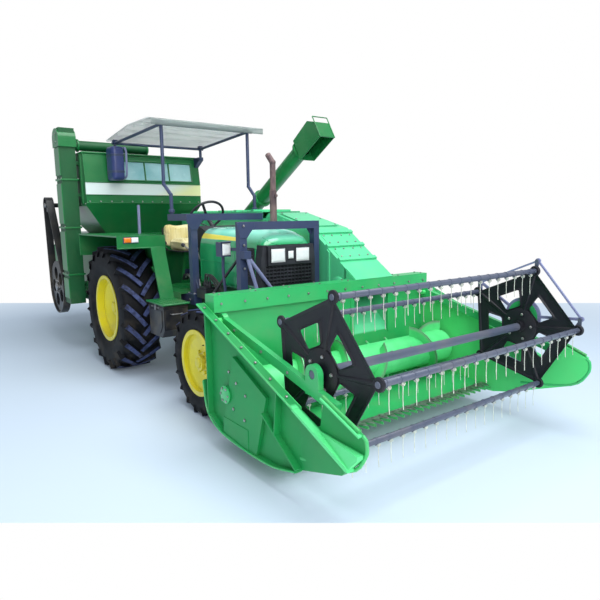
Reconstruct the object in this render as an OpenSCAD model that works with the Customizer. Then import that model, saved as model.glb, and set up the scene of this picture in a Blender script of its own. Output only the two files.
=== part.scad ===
// Tractor-carried combine harvester: front header with pick-up reel, feeder along the
// tractor's left side, threshing body and grain tank behind the driver.
// X points forward, Y to the driver's left, Z up. Lengths are measured from the rear axle.

/* [Wheels] */
// Distance between the front and rear axles
wheelbase = 2030; // [2000:10:2080]
// Rear tyre outside diameter, over the lugs
rear_tyre_d = 1430; // [1400:5:1440]
// Rear tyre width
rear_tyre_w = 430; // [400:5:440]
// Distance between the rear tyres' middles
rear_track = 1560; // [1540:5:1600]
// Rear rim bead seat diameter
rear_bead_d = 711; // [690:1:730]
// Front tyre outside diameter, over the lugs
front_tyre_d = 950; // [930:5:955]
// Front tyre width
front_tyre_w = 210; // [200:2:214]
// Distance between the front tyres' middles
front_track = 1490; // [1480:5:1510]
// Front rim bead seat diameter
front_bead_d = 545; // [530:1:560]
// Distance between the kingpins
king_span = 1200; // [1190:2:1210]
// Height of a rear tyre lug
rear_lug_h = 38; // [25:1:45]
// Height of a front tyre lug
front_lug_h = 20; // [12:1:26]
// Lugs on each half of a rear tyre
rear_lugs = 14; // [12:1:18]
// Lugs on each half of a front tyre
front_lugs = 10; // [10:1:14]

/* [Tractor] */
// Half width of the hood
hood_half = 300; // [285:1:305]
// Height of the hood's crown
hood_top_z = 1640; // [1620:5:1650]
// Height of the hood's front edge, above the lamps
brow_z = 1490; // [1485:1:1500]
// Height of the hood's lower edge
hood_low_z = 1070; // [1050:5:1100]
// Sheet thickness of the hood
hood_wall = 12; // [8:1:16]
// Half width of the engine
engine_half = 230; // [210:1:240]
// Height of the engine above the ground
engine_top = 1240; // [1200:5:1260]
// Exhaust pipe outside diameter
exhaust_d = 56; // [50:1:62]
// Height of the exhaust outlet
exhaust_top = 2330; // [2250:10:2400]
// Steering wheel diameter
steering_d = 400; // [360:5:420]
// Seat cushion width
seat_w = 420; // [380:5:440]
// Height of the right fender above the tyre
fender_gap = 130; // [110:5:150]

/* [Frame and canopy] */
// Width of the square frame tubes
tube_w = 70; // [60:1:76]
// Height of the main rails' upper face
rail_top = 960; // [950:1:970]
// Height of the rear portal
rear_portal_top = 1780; // [1760:5:1790]
// Height of the front portal
front_portal_top = 1700; // [1680:5:1720]
// Canopy post diameter
post_d = 38; // [32:1:44]
// Height of the canopy's front edge
canopy_z = 2770; // [2720:5:2820]
// Length of the canopy
canopy_l = 1470; // [1400:10:1520]
// Width of the canopy
canopy_w = 1375; // [1300:5:1400]

/* [Feeder] */
// Distance of the feeder's inner wall from the centreline
feeder_in = 385; // [383:1:400]
// Width of the feeder
feeder_w = 515; // [500:1:525]
// Height of the upper feeder's floor
feeder_low = 1530; // [1525:1:1545]
// Height of the upper feeder's top
feeder_top = 1800; // [1790:1:1815]
// Feeder wall thickness
feeder_wall = 8; // [6:1:12]

/* [Rear body] */
// Front wall of the threshing body and tank, behind the axle
body_front = 800; // [790:1:820]
// Rear end of the straw hood, behind the axle
rear_reach = 3300; // [3250:10:3400]
// Right side of the threshing body from the centreline
body_right = 750; // [730:1:760]
// Left side of the threshing body from the centreline
body_left = 690; // [670:1:700]
// Height of the threshing body's floor
body_low = 620; // [600:5:640]
// Height of the threshing body's top, where the tank sits
body_top = 1540; // [1520:5:1550]
// Wall of the threshing body and straw hood
body_wall = 6; // [4:1:10]
// Height of the tank's rim
tank_top = 2560; // [2520:5:2580]
// Right side of the tank from the centreline
tank_right = 880; // [860:1:890]
// Wall of the tank
tank_wall = 5; // [4:1:8]
// Height of the elevator's head
elevator_top = 2860; // [2820:5:2900]
// Outer face of the belt drive from the centreline
drive_reach = 1120; // [1112:1:1140]
// Radius of the large drive pulley
pulley_r = 365; // [340:1:370]
// Outside diameter of the unloading tube
unload_d = 180; // [160:2:190]
// Rise of the unloading tube in degrees
unload_rise = 31.3; // [29:0.1:33]

/* [Header] */
// Inner face of the header's right wall from the centreline
header_right = 1020; // [1015:1:1030]
// Inner face of the header's left wall from the centreline
header_left = 1360; // [1350:1:1380]
// Header sheet thickness
header_wall = 8; // [6:1:12]
// How far the divider points flare out
flare = 60; // [50:1:70]
// Front of the divider points
front_reach = 4370; // [4340:5:4420]
// Outside diameter of the auger's flights
auger_d = 480; // [450:2:490]
// Diameter of the auger's tube
auger_tube_d = 300; // [280:2:320]
// Pitch of the auger's flights
auger_pitch = 440; // [380:10:500]
// Spacing of the knife guards
guard_pitch = 76; // [70:1:100]

/* [Reel] */
// Radius of the tine bars' circle
reel_r = 480; // [460:1:490]
// Diameter of a tine bar
bar_d = 40; // [34:1:44]
// Length of a tine below its bar
tine_l = 185; // [150:5:190]
// Diameter of a tine
tine_d = 9; // [6:1:12]
// Tines on one bar
tines = 19; // [12:1:24]
// How far the steering ring sits above the reel's axis
ring_rise = 80; // [70:1:84]

/* [Hidden] */
$fn = 48;

// Colours
green = [0.10, 0.52, 0.24];
light_green = [0.20, 0.66, 0.36];
navy = [0.16, 0.20, 0.30];
yellow = [0.85, 0.80, 0.20];
black = [0.08, 0.08, 0.10];
grey = [0.55, 0.55, 0.62];
cream = [0.92, 0.88, 0.66];
pale = [0.88, 0.90, 0.92];

// Clearances
run_gap = 0.3;
side_gap = 3;
fit_gap = 0.5;

// The origin is under the middle of the whole machine
left_reach = header_left + header_wall + flare;
shift_x = (rear_reach - front_reach) / 2;
shift_y = (drive_reach - left_reach) / 2;

// Wheel places
rear_half = rear_track / 2;
front_half = front_track / 2;
rear_z = rear_tyre_d / 2;
front_z = front_tyre_d / 2;
king_half = king_span / 2;
rear_rim_half = 180;
front_rim_half = 87;
stub_r = 50;
spindle_r = 30;
king_r = 22;
tyre_sides = 28;
fender_top = rear_tyre_d + fender_gap;
fender_half = rear_tyre_d / 2 + 45;

// Front axle heights
axle_top = 760;
axle_deep = 100;
axle_wide = 100;
king_low = front_z + 45;
king_high = king_low + 140;

// Engine, gearbox and hood lengths
gear_rear = -330;
engine_rear = 1100;
engine_front = 1950;
engine_low = 500;
support_front = 2260;
hood_rear = engine_rear;
canopy_foot = 750;
roof_front = 710;
roof_bend = roof_front - 76;
roof_seat = 0.2;
roof_ridge = roof_front - 700;
roof_rear = roof_front - canopy_l;
canister_top = tank_top + 65;
hood_front = 2180;
dash_z = 1610;
nose_front = hood_front + 100;
shoulder_z = 1300;
bezel_half = 245;
bezel_front = nose_front + 30;
lamp_in = 57;
lamp_out = 216;
lamp_z0 = 1335;
lamp_z1 = 1463;
work_lamp = [1985, -480, 1455];
exhaust_x = 1880;
exhaust_y = 110;
rail_half = 440;
rail_w = 80;
rail_h = 100;
floor_t = 15;
floor_half = 535;
step_z = 905;

// Portals
rear_portal_x = 1235;
front_portal_x = support_front - tube_w / 2;
portal_right = 465;
left_post_y = 340;
left_post_w = 60;

// Feeder
feeder_out = feeder_in + feeder_w;
hinge_x = 1400;
hinge_z = (feeder_low + feeder_top) / 2;
hinge_r = 120;
hinge_pin_r = 25;

// Header
auger_x = 2950;
auger_z = 480;
trough_r = auger_d / 2 + 22;
back_x = auger_x - trough_r;
rail_x0 = 2600;
rail_x1 = 2740;
rail_z0 = 1040;
rail_z1 = 1170;
mouth_z0 = 660;
knife_x = 3420;
knife_z = 195;
divider_x = 3800;

// Reel
reel_x = 3842;
reel_z = 819;
reel_phase = 5.1;
reel_bars = 5;
arm_x = 2760;
arm_z = 985;
arm_front = [4060, 663];
arm_pin_r = 20;
shaft_r = 28;
spider_t = 14;
rib_h = 8;
right_arm = [-975, -935];
left_arm = [header_left - 55, header_left - 15];
right_spider = -900;
left_spider = header_left - 134;
disc_r = 130;
ring_y = left_spider + 36;
ring_t = 16;
crank_y = left_spider + spider_t + side_gap;
crank_t = 10;
crank_pin_r = 8;

// Lift cylinders
lift_base = [1500, 420];
lift_eye = [2620, 400];
lift_half = 250;
lift_pin_r = 16;
lift_drift = 14;
lift_len = norm(lift_eye - lift_base);
lift_tilt = atan2(lift_eye[1] - lift_base[1], lift_eye[0] - lift_base[0]);
barrel_l = 690;
barrel_r = 38;
rod_r = 20;

// Rear body, tank and drives
body_rear = -2750;
body_nose_z = 760;
hood_knee_x = -3000;
tank_rear = -2050;
tank_knee_z = 1900;
front_knee_z = 1930;
band_top = 2190;
tank_lean = 60;
window_y = [-430, 560];
window_z = [2230, 2470];
canister_y = [-700, -450];
elevator_x = [-1270, -1020];
elevator_w = 185;
elevator_low = 650;
elevator_skin = 8;
cross_tube = [-1090, 2660];
pulley_low = [-1660, 820];
pulley_high = [-1960, 1930];
pulley_small_r = 110;
belt_w = 95;
belt_t = 14;
chute_rear = -1150;
chute_low = 1410;

// Seat, step and tool box
seat_x = [-10, 470];
seat_z = [1345, 1490];
seat_back_top = 1800;
step_x = 900;
step_front = 1330;
step_out = 830;
box_x = [930, 1300];
box_low = 560;

// Unloading tube
unload_x = -750;
unload_y = 1030;
unload_z = 1352;
turret_top = 1455;
unload_wall = 5;
unload_l = 2230;

module place() translate([shift_x, shift_y, 0]) children();

// Extrudes an outline drawn in X and Z from y0 to y1
module slab(y0, y1) translate([0, y1, 0]) rotate([90, 0, 0]) linear_extrude(y1 - y0) children();

// Extrudes an outline drawn in Y and Z from x0 to x1
module along_x(x0, x1) translate([x0, 0, 0]) rotate([90, 0, 90]) linear_extrude(x1 - x0) children();

// Block between two corners
module block(a, b) translate(a) cube(b - a);

// Round bar along Y
module pin_y(x, z, y0, y1, r) translate([x, y1, z]) rotate([90, 0, 0]) cylinder(h = y1 - y0, r = r);

// Round bar between two points
module rod(p, q, d) {
    v = q - p;
    translate(p)
        rotate([0, acos(v[2] / norm(v)), atan2(v[1], v[0])])
            cylinder(h = norm(v), d = d);
}

// Flat bar in the X-Z plane from p to q, of the given depth
module link2d(p, q, deep) {
    v = q - p;
    translate(p) rotate(atan2(v[1], v[0])) translate([0, -deep / 2]) square([norm(v), deep]);
}

module both_sides() {
    children();
    mirror([0, 1, 0]) children();
}

// Wheels

// One tapered lug that runs from the tread's middle to the shoulder, wheel axis on Z
module lug(radius, height, half_w, sweep, thick) {
    root = radius - height;
    ends = [[root - 14, radius, 6, 0, thick / 2], [root - 30, radius - 12, half_w - 4, sweep,
        thick * 0.62]];
    corners = [for (e = ends) for (c = [[e[0], -1], [e[1], -1], [e[1], 1], [e[0], 1]])
        [c[0] * cos(e[3]) - c[1] * e[4] * sin(e[3]), c[0] * sin(e[3]) + c[1] * e[4] * cos(e[3]), e[2]]];
    hull() polyhedron(corners, [[0, 1, 2, 3], [7, 6, 5, 4], [0, 4, 5, 1], [1, 5, 6, 2], [2, 6, 7, 3],
        [3, 7, 4, 0]]);
}

module tyre(d, w, bead_d, rim_half, lug_h, lugs) {
    bead_r = bead_d / 2;
    tread_r = d / 2 - lug_h;
    half = w / 2;
    side = [[bead_r, rim_half - 2], [bead_r + 32, rim_half - 2], [(bead_r + tread_r) / 2, half],
        [tread_r - 34, half - 8], [tread_r, half * 0.72]];
    under = [for (i = [len(side) - 1:-1:0]) [side[i][0], -side[i][1]]];
    rotate([-90, 0, 0]) {
        rotate_extrude($fn = tyre_sides) polygon(concat(side, under));
        for (k = [0:lugs - 1])
            for (s = [0, 1])
                rotate(360 * (k + s / 2) / lugs)
                    mirror([0, 0, s])
                        lug(d / 2, lug_h, half, -240 / lugs, w * 0.095);
    }
}

// Seat for the rim inside the many-sided tyre
function seat_r(bead_d) = bead_d / 2 * cos(180 / tyre_sides) - fit_gap / 5;

// Dished wheel disc and rim, outside of the wheel towards +Y
module rim(bead_d, rim_half, bore_r, hub_r, hub_in, hub_out, dish) {
    seat = seat_r(bead_d);
    lip = 26;
    wall = 14;
    rotate([-90, 0, 0])
        rotate_extrude() {
            difference() {
                union() {
                    translate([seat - wall, -rim_half - 10]) square([wall, 2 * rim_half + 20]);
                    for (s = [-1, 1])
                        translate([seat - wall, s * (rim_half + 5) - 5]) square([wall + lip, 10]);
                }
            }
            polygon([[hub_r - 5, dish], [hub_r + 60, dish], [seat - 50, rim_half * 0.55],
                [seat - wall + 4, rim_half * 0.55], [seat - wall + 4, rim_half * 0.55 + 12],
                [seat - 58, rim_half * 0.55 + 12], [hub_r + 52, dish + 14], [hub_r - 5, dish + 14]]);
            translate([bore_r, hub_in]) square([hub_r - bore_r, hub_out - hub_in]);
        }
}

module rear_tyre() tyre(rear_tyre_d, rear_tyre_w, rear_bead_d, rear_rim_half, rear_lug_h, rear_lugs);
module front_tyre() tyre(front_tyre_d, front_tyre_w, front_bead_d, front_rim_half, front_lug_h, front_lugs);
module rear_rim() rim(rear_bead_d, rear_rim_half, stub_r + run_gap, 95, -30, 90, 10);
module front_rim() rim(front_bead_d, front_rim_half, spindle_r + run_gap, 70, -10, 75, 20);
module at_rear(s) place() translate([0, s * rear_half, rear_z]) mirror([0, s < 0 ? 1 : 0, 0]) children();
module at_front(s)
    place() translate([wheelbase, s * front_half, front_z]) mirror([0, s < 0 ? 1 : 0, 0]) children();

module rear_tyre_left() color(black) at_rear(1) rear_tyre();
module rear_tyre_right() color(black) at_rear(-1) rear_tyre();
module front_tyre_left() color(black) at_front(1) front_tyre();
module front_tyre_right() color(black) at_front(-1) front_tyre();
module rear_rim_left() color(yellow) at_rear(1) rear_rim();
module rear_rim_right() color(yellow) at_rear(-1) rear_rim();
module front_rim_left() color(yellow) at_front(1) front_rim();
module front_rim_right() color(yellow) at_front(-1) front_rim();

// Steering knuckle of the left wheel: kingpin, body, spindle and arm
module knuckle() {
    translate([wheelbase, king_half, 0]) {
        translate([0, 0, king_low - 110]) cylinder(h = 110 - side_gap, r = 46);
        translate([0, 0, king_low - 110]) cylinder(h = king_high - king_low + 130, r = king_r);
        translate([0, 0, king_high + side_gap]) cylinder(h = 17, r = 30);
        translate([-170, -18, king_low - 110]) cube([170, 36, 17]);
    }
    pin_y(wheelbase, front_z, king_half, front_half + 72, spindle_r);
}

module knuckle_left() color(green) place() knuckle();
module knuckle_right() color(green) place() mirror([0, 1, 0]) knuckle();

// Front beam with raised middle and drop ends that carry the kingpins
module front_axle() color(green) place() {
    beam = [[-400, axle_top], [400, axle_top], [king_half, king_high - 20], [king_half, king_low + 20],
        [king_half - 40, king_low + 20], [360, axle_top - axle_deep], [-360, axle_top - axle_deep],
        [40 - king_half, king_low + 20], [-king_half, king_low + 20], [-king_half, king_high - 20]];
    difference() {
        union() {
            along_x(wheelbase - axle_wide / 2, wheelbase + axle_wide / 2) polygon(beam);
            both_sides() translate([wheelbase, king_half, king_low])
                cylinder(h = king_high - king_low, r = 48);
        }
        both_sides() translate([wheelbase, king_half, king_low - 1])
            cylinder(h = king_high - king_low + 2, r = king_r + run_gap);
    }
}

// Casting ahead of the engine that carries the front axle and the front portal
module front_support() color(green) place() {
    along_x(engine_front, support_front)
        polygon([[-170, axle_top], [170, axle_top], [200, rail_top], [-200, rail_top]]);
}

// Engine with sump and the lugs of the lift cylinders
module engine_block() color(green) place() {
    along_x(engine_rear, engine_front)
        polygon([[-170, engine_low], [170, engine_low], [engine_half, engine_low + 180],
            [engine_half, engine_top - 60], [engine_half - 70, engine_top], [70 - engine_half, engine_top],
            [-engine_half, engine_top - 60], [-engine_half, engine_low + 180]]);
    both_sides() {
        slab(140, lift_half - barrel_r - 4) polygon([lift_base + [-60, -20], lift_base + [-30, -50],
            lift_base + [30, -50], lift_base + [60, -20], lift_base + [60, 110], lift_base + [-60, 110]]);
        pin_y(lift_base[0], lift_base[1], 150, lift_half + 34, lift_pin_r);
    }
}

// Gearbox and rear axle in one backbone, with the wheel stubs
module gearbox_housing() color(green) place() {
    along_x(gear_rear, engine_rear)
        polygon([[-150, 480], [150, 480], [200, 560], [200, 860], [150, 940], [-150, 940], [-200, 860],
            [-200, 560]]);
    both_sides() {
        pin_y(0, rear_z, 150, 520, 95);
        pin_y(0, rear_z, 520, 555, 130);
        pin_y(0, rear_z, 550, rear_half + 105, stub_r);
        block([-90, rail_half - rail_w / 2, rear_z], [90, rail_half + rail_w / 2, rail_top - rail_h]);
    }
}

// Twin rails from the rear portal back to the threshing body
module main_frame() color(navy) place() {
    both_sides() {
        block([-body_front, rail_half - rail_w / 2, rail_top - rail_h],
            [rear_portal_x + tube_w, rail_half + rail_w / 2, rail_top]);
        block([-body_front, rail_half - 90, rail_top - rail_h - 60],
            [14 - body_front, rail_half + 90, rail_top + 60]);
    }
    block([-520, -rail_half, rail_top - rail_h], [-440, rail_half, rail_top]);
}

// Hood, nose and driver's place

// Half of the hood's rounded cross-section, as a flattened ellipse above the shoulders
function crown_half(half, low, high) = [for (a = [0:9:90])
    [half * pow(cos(a), 0.6), low + (high - low) * pow(sin(a), 0.6)]];

module crown2d(half, base, low, high) {
    right = crown_half(half, low, high);
    left = [for (i = [len(right) - 1:-1:0]) [-right[i][0], right[i][1]]];
    polygon(concat([[-half, base], [half, base]], right, left));
}

// Solid under the hood's skin, drawn in by the given depth
module hood_form(deep, x0, x1) intersection() {
    top = hood_top_z - deep;
    slab(-hood_half, hood_half) polygon([[x0, hood_low_z - deep], [x1, hood_low_z - deep],
        [x1, brow_z - deep],
        [nose_front - 70 - deep, top - 60], [nose_front - 170, top - 20], [nose_front - 330, top],
            [x0, top]]);
    along_x(x0, x1) crown2d(hood_half - deep, hood_low_z - deep, shoulder_z, top);
}

module hood() color(green) place() difference() {
    hood_form(0, hood_rear, nose_front - 10);
    hood_form(hood_wall, hood_rear - 1, nose_front - 10 - hood_wall);
    block([hood_front, -hood_half - 1, hood_low_z - 1], [nose_front, hood_half + 1, brow_z]);
    translate([exhaust_x, exhaust_y, hood_low_z]) cylinder(h = 700, d = exhaust_d + 16);
}

module grille_nose() color(black) place() difference() {
    union() {
        along_x(hood_front, nose_front)
            polygon([[-hood_half, hood_low_z], [hood_half, hood_low_z], [hood_half, shoulder_z + 60],
                [hood_half - 20, brow_z], [20 - hood_half, brow_z], [-hood_half, shoulder_z + 60]]);
        block([nose_front, -bezel_half, lamp_z0 - 20], [bezel_front, bezel_half, brow_z - 8]);
        block([hood_front - 80, -190, rail_top], [hood_front + 8, 190, hood_low_z + 5]);
    }
    for (k = [0:6])
        block([nose_front - 40, -250, hood_low_z + 25 + 32 * k],
            [nose_front + 1, 250, hood_low_z + 43 + 32 * k]);
    both_sides() block([nose_front - 45, lamp_in - fit_gap, lamp_z0 - fit_gap],
        [bezel_front + 1, lamp_out + fit_gap, lamp_z1 + fit_gap]);
}

// Headlamps in the nose, work lamp by the hood and the fender's signal lamp
module lamps() color(pale) place() {
    both_sides() block([nose_front - 45, lamp_in, lamp_z0], [bezel_front + 4, lamp_out, lamp_z1]);
    block([bezel_front, -32, lamp_z0 + 28], [bezel_front + 8, 32, lamp_z1 - 26]);
    block([work_lamp[0], work_lamp[1] - 43, work_lamp[2] - 55],
        [work_lamp[0] + 12, work_lamp[1] + 43, work_lamp[2] + 55]);
    block([fender_half, -985, fender_top - 70], [fender_half + 25, -830, fender_top - 15]);
}

module exhaust_pipe() color(grey) place() translate([exhaust_x, exhaust_y, engine_top]) {
    bend_a = 45;
    outlet_l = 110;
    straight = exhaust_top - engine_top - outlet_l * sin(bend_a);
    cylinder(h = straight, d = exhaust_d);
    translate([0, 0, 330]) cylinder(h = 420, d = exhaust_d + 12);
    translate([0, 0, straight]) {
        sphere(d = exhaust_d + 6);
        rotate([0, -bend_a, 0]) difference() {
            cylinder(h = outlet_l, d = exhaust_d);
            translate([0, 0, outlet_l - 40]) cylinder(h = 50, d = exhaust_d - 8);
        }
    }
}

module dash_console() color(black) place() {
    slab(-230, 230) polygon([[hood_rear, rail_top + floor_t], [hood_rear, dash_z - 10],
        [hood_rear - 150, dash_z + 40], [hood_rear - 220, dash_z - 60], [hood_rear - 120, rail_top + 250],
        [hood_rear - 120, rail_top + floor_t]]);
}

module steering_wheel() color(black) place()
    translate([hood_rear - 205, 0, dash_z - 20])
        rotate([0, -50, 0]) {
            translate([0, 0, 30]) cylinder(h = 240, d = 46);
            translate([0, 0, 262]) {
                rotate_extrude() translate([steering_d / 2, 0]) circle(d = 28, $fn = 24);
                for (a = [90, 210, 330])
                    rotate(a) translate([0, -14, -8]) cube([steering_d / 2, 28, 14]);
            }
        }

// Padded seat: cushion on the stand, low back behind it
module seat_cushions() color(cream) place() {
    back_low = seat_z[0] + 25;
    block([seat_x[0], -seat_w / 2, seat_z[0]], [seat_x[1], seat_w / 2, seat_z[1]]);
    slab(-seat_w / 2, seat_w / 2)
        polygon([[seat_x[0] - 2, back_low], [seat_x[0] - 30, seat_back_top],
            [seat_x[0] - 140, seat_back_top],
            [seat_x[0] - 115, back_low]]);
}

// Driver's floor with step, and the seat's stand on the gearbox
module platform() color(green) place() {
    block([350, -floor_half, rail_top], [hood_rear, floor_half, rail_top + floor_t]);
    block([step_x, -floor_half - 10, step_z - floor_t], [hood_rear, -floor_half, rail_top + floor_t]);
    block([step_x, -step_out, step_z - floor_t], [step_front, -floor_half - 10, step_z]);
    difference() {
        slab(-160, 160) polygon([[0, 940], [300, 940], [400, seat_z[0]], [-130, seat_z[0]], [-130, 1300]]);
        block([-200, -130, 1000], [500, 130, 1300]);
    }
}

module tool_box() color(black) place() {
    slab(15 - step_out, -floor_half - 25)
        polygon([[box_x[0], box_low], [box_x[1] - 60, box_low], [box_x[1], box_low + 80],
            [box_x[1], step_z - floor_t], [box_x[0], step_z - floor_t]]);
}

// Flat-topped fender with inner wall, front lip and the slope down to the step
module fender(top, wide, lip) {
    inner = floor_half;
    sheet = 14;
    rear = -fender_half + 140;
    slab(inner, inner + 10) polygon([[rear, top], [fender_half, top], [fender_half, rail_top - 5],
        [fender_half - 120, rail_top - 5], [fender_half - 200, 1140], [0, 1340], [rear + 220, 1200],
            [rear, 1000]]);
    block([rear, inner, top - sheet], [fender_half, inner + wide, top]);
    block([fender_half - sheet, inner, top - lip], [fender_half, inner + wide, top]);
    block([rear, inner, top - 2 * lip], [rear + sheet, inner + wide, top]);
}

module fenders() color(green) place() {
    mirror([0, 1, 0]) {
        fender(fender_top, 515, 130);
        slab(floor_half + 11, 700)
            polygon([[fender_half - 14, fender_top - 130], [fender_half, fender_top - 120],
                [fender_half + 195, step_z], [fender_half + 175, step_z]]);
    }
    fender(feeder_low - 35, 380, 60);
}

// Square-tube portal in front of the nose, with diagonal guard bars
module front_portal() color(navy) place() {
    x0 = front_portal_x - tube_w / 2;
    x1 = front_portal_x + tube_w / 2;
    outer = portal_right + tube_w / 2;
    left = left_post_y + left_post_w / 2;
    block([x0, -outer, rail_top], [x1, left, rail_top + tube_w]);
    block([x0, -outer, rail_top], [x1, -outer + tube_w, front_portal_top]);
    block([x0, left - left_post_w, rail_top], [x1, left, front_portal_top]);
    block([x0, -outer, front_portal_top - tube_w], [x1, left, front_portal_top]);
    guard_x = nose_front + 25;
    guard_z = 1420;
    block([x1 - 5, -portal_right - 34, guard_z - 34], [guard_x + 22, -portal_right + 34, guard_z + 34]);
    block([x1 - 5, -370, rail_top + 5], [guard_x + 22, -80, rail_top + 65]);
    for (y = [-120, -330])
        rod([guard_x, -portal_right, guard_z], [guard_x, y, rail_top + 35], 30);
    arm_y = tube_w - outer;
    block([work_lamp[0] - 90, arm_y - 6, work_lamp[2] - 15], [x0 + 5, arm_y + 5, work_lamp[2] + 15]);
    block([work_lamp[0] - 95, work_lamp[1] - 55, work_lamp[2] - 65],
        [work_lamp[0], arm_y - 5, work_lamp[2] + 65]);
}

// Portal across the hood's rear, which carries the canopy and the feeder
module rear_portal() color(navy) place() {
    x0 = rear_portal_x - tube_w / 2;
    x1 = rear_portal_x + tube_w / 2;
    outer = portal_right + tube_w / 2 - 25;
    block([x0, -outer, rail_top], [x1, -outer + tube_w, rear_portal_top]);
    block([x0, -outer, rear_portal_top - tube_w], [x1, feeder_in, rear_portal_top]);
    block([canopy_foot - 40, -outer, rear_portal_top - tube_w], [x1, -outer + tube_w, rear_portal_top]);
    block([x0, rail_half - tube_w / 2, rail_top], [x1, rail_half + tube_w / 2, feeder_low]);
}

// Height of the roof sheet's underside, behind its front bend
function roof_low(x) = x < roof_ridge
    ? canopy_z + 8 - 74 * (roof_ridge - x) / (roof_ridge - roof_rear - 14)
    : canopy_z + 8 - 6 * (x - roof_ridge) / (roof_bend - roof_ridge);

// Four posts, the front ones bent, and the hoop with pads that the roof sheet lies on
module canopy_posts() color(navy) place() {
    front_x = 620;
    foot_x = canopy_foot;
    rear_x = -700;
    bend_high = 2100;
    bend_low = 1985;
    hoop_drop = 40;
    front_z = roof_low(front_x) - hoop_drop;
    rear_z = roof_low(rear_x) - hoop_drop;
    right = [-460, -440, -515];
    left = [610, 610, 660];
    for (side = [right, left]) {
        foot_z = side[0] < 0 ? rear_portal_top : feeder_top;
        stand_z = side[0] < 0 ? canister_top : tank_top - 5;
        translate([foot_x, side[1], foot_z]) cylinder(h = bend_low - foot_z, d = post_d);
        translate([foot_x, side[1], bend_low]) sphere(d = post_d + 4);
        rod([foot_x, side[1], bend_low], [front_x, side[0], bend_high], post_d);
        translate([front_x, side[0], bend_high]) sphere(d = post_d + 4);
        translate([front_x, side[0], bend_high]) cylinder(h = front_z - bend_high, d = post_d);
        translate([rear_x, side[2], stand_z]) cylinder(h = rear_z - stand_z, d = post_d);
        rod([rear_x - 30, side[2], rear_z], [front_x + 40, side[0], front_z], post_d - 4);
        hoop_pad(front_x - 30, side[0], front_z);
        hoop_pad(rear_x, side[2], rear_z);
    }
    rod([front_x, right[0] - 60, front_z], [front_x, left[0] + 60, front_z], post_d - 6);
    rod([rear_x, right[2] - 40, rear_z], [rear_x, left[2] + 40, rear_z], post_d - 6);
    slab(left[2] - 30, left[2] + 30) polygon([[tank_front(tank_top - 130), tank_top - 130],
        [tank_front(tank_top), tank_top], [rear_x + 22, tank_top], [rear_x + 22, tank_top - 40]]);
}

module hoop_pad(x, y, z) slab(y - 28, y + 28)
    polygon([[x - 22, z], [x + 22, z], [x + 22, roof_low(x + 22) - roof_seat],
        [x - 22, roof_low(x - 22) - roof_seat]]);

module canopy_roof() color(pale) place() {
    lip_z = canopy_z - 60;
    slab(-600, canopy_w - 600) polygon([[roof_front, lip_z], [roof_front, canopy_z],
        [roof_front - 70, canopy_z + 15], [roof_ridge, canopy_z + 22], [roof_rear, canopy_z - 60], [roof_rear, canopy_z - 78],
        [roof_rear + 10, canopy_z - 78], [roof_rear + 14, canopy_z - 66], [roof_ridge, canopy_z + 8],
        [roof_bend, canopy_z + 2], [roof_front - 14, canopy_z - 12], [roof_front - 14, lip_z]]);
}

// Feeder

module upper_feeder() color(light_green) place() difference() {
    union() {
        block([-body_front, feeder_in, feeder_low], [hinge_x - hinge_r - 20, feeder_out, feeder_top]);
        for (y = [feeder_in, feeder_out - 14])
            slab(y, y + 14) {
                translate([hinge_x - hinge_r - 60, hinge_z - 60]) square([hinge_r + 60, 120]);
                translate([hinge_x, hinge_z]) circle(r = 60);
            }
        pin_y(hinge_x, hinge_z, feeder_in, feeder_out, hinge_pin_r);
        for (k = [0:4])
            block([-500 + 380 * k, feeder_in, feeder_top - 1],
                [-440 + 380 * k, feeder_out, feeder_top + 22]);
    }
    block([-body_front - 1, feeder_in + feeder_wall, feeder_low + feeder_wall],
        [hinge_x - hinge_r - 19, feeder_out - feeder_wall, feeder_top - feeder_wall]);
}

function feeder_side(t) = [[hinge_x, hinge_z + hinge_r - t], [2090, 1620 - t], [rail_x0 + t, 1264 - t],
    [rail_x0 + t, rail_z0 - 2 * t],
    [back_x - header_wall + 2 * t, rail_z0 - 2 * t], [back_x - header_wall + 2 * t, mouth_z0 - 20 + t],
        [2630, 720 + t],
    [2090, 1190 + t], [hinge_x, hinge_z - hinge_r + t]];

// Sloping feeder between the header and its hinge
module lower_feeder() color(light_green) place() {
    inner = feeder_in + 20;
    outer = feeder_out - 20;
    difference() {
        slab(inner, outer) {
            polygon(feeder_side(0));
            translate([hinge_x, hinge_z]) circle(r = hinge_r);
        }
        slab(inner + feeder_wall, outer - feeder_wall) {
            polygon(feeder_side(feeder_wall));
            translate([hinge_x, hinge_z]) circle(r = hinge_r - feeder_wall);
        }
        block([hinge_x - hinge_r - 1, inner + 40, hinge_z - 70], [hinge_x - 70, outer - 40, hinge_z + 70]);
        pin_y(hinge_x, hinge_z, inner - 1, outer + 1, hinge_pin_r + run_gap);
    }
    for (p = [0.12, 0.46, 0.8]) {
        x = 2090 + (rail_x0 - 2090) * p;
        z = 1620 + (1264 - 1620) * p;
        translate([x, inner, z]) rotate([0, atan2(356, rail_x0 - 2090), 0]) translate([-20, 0, -1])
            cube([40, outer - inner, 20]);
    }
}

// Threshing body, tank and rear end

// Side outline of the chute that takes the crop from the feeder into the body, walls drawn in by t
function chute(t) = let (front = t > 0 ? 1 - body_front : -body_front)
    [[front, feeder_low - 60 + t], [front, feeder_top - t], [chute_rear + 100 + t, feeder_top - t],
        [chute_rear + t, feeder_top - 130], [chute_rear + t, chute_low + t],
            [chute_rear + 150, chute_low + t]];

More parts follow.
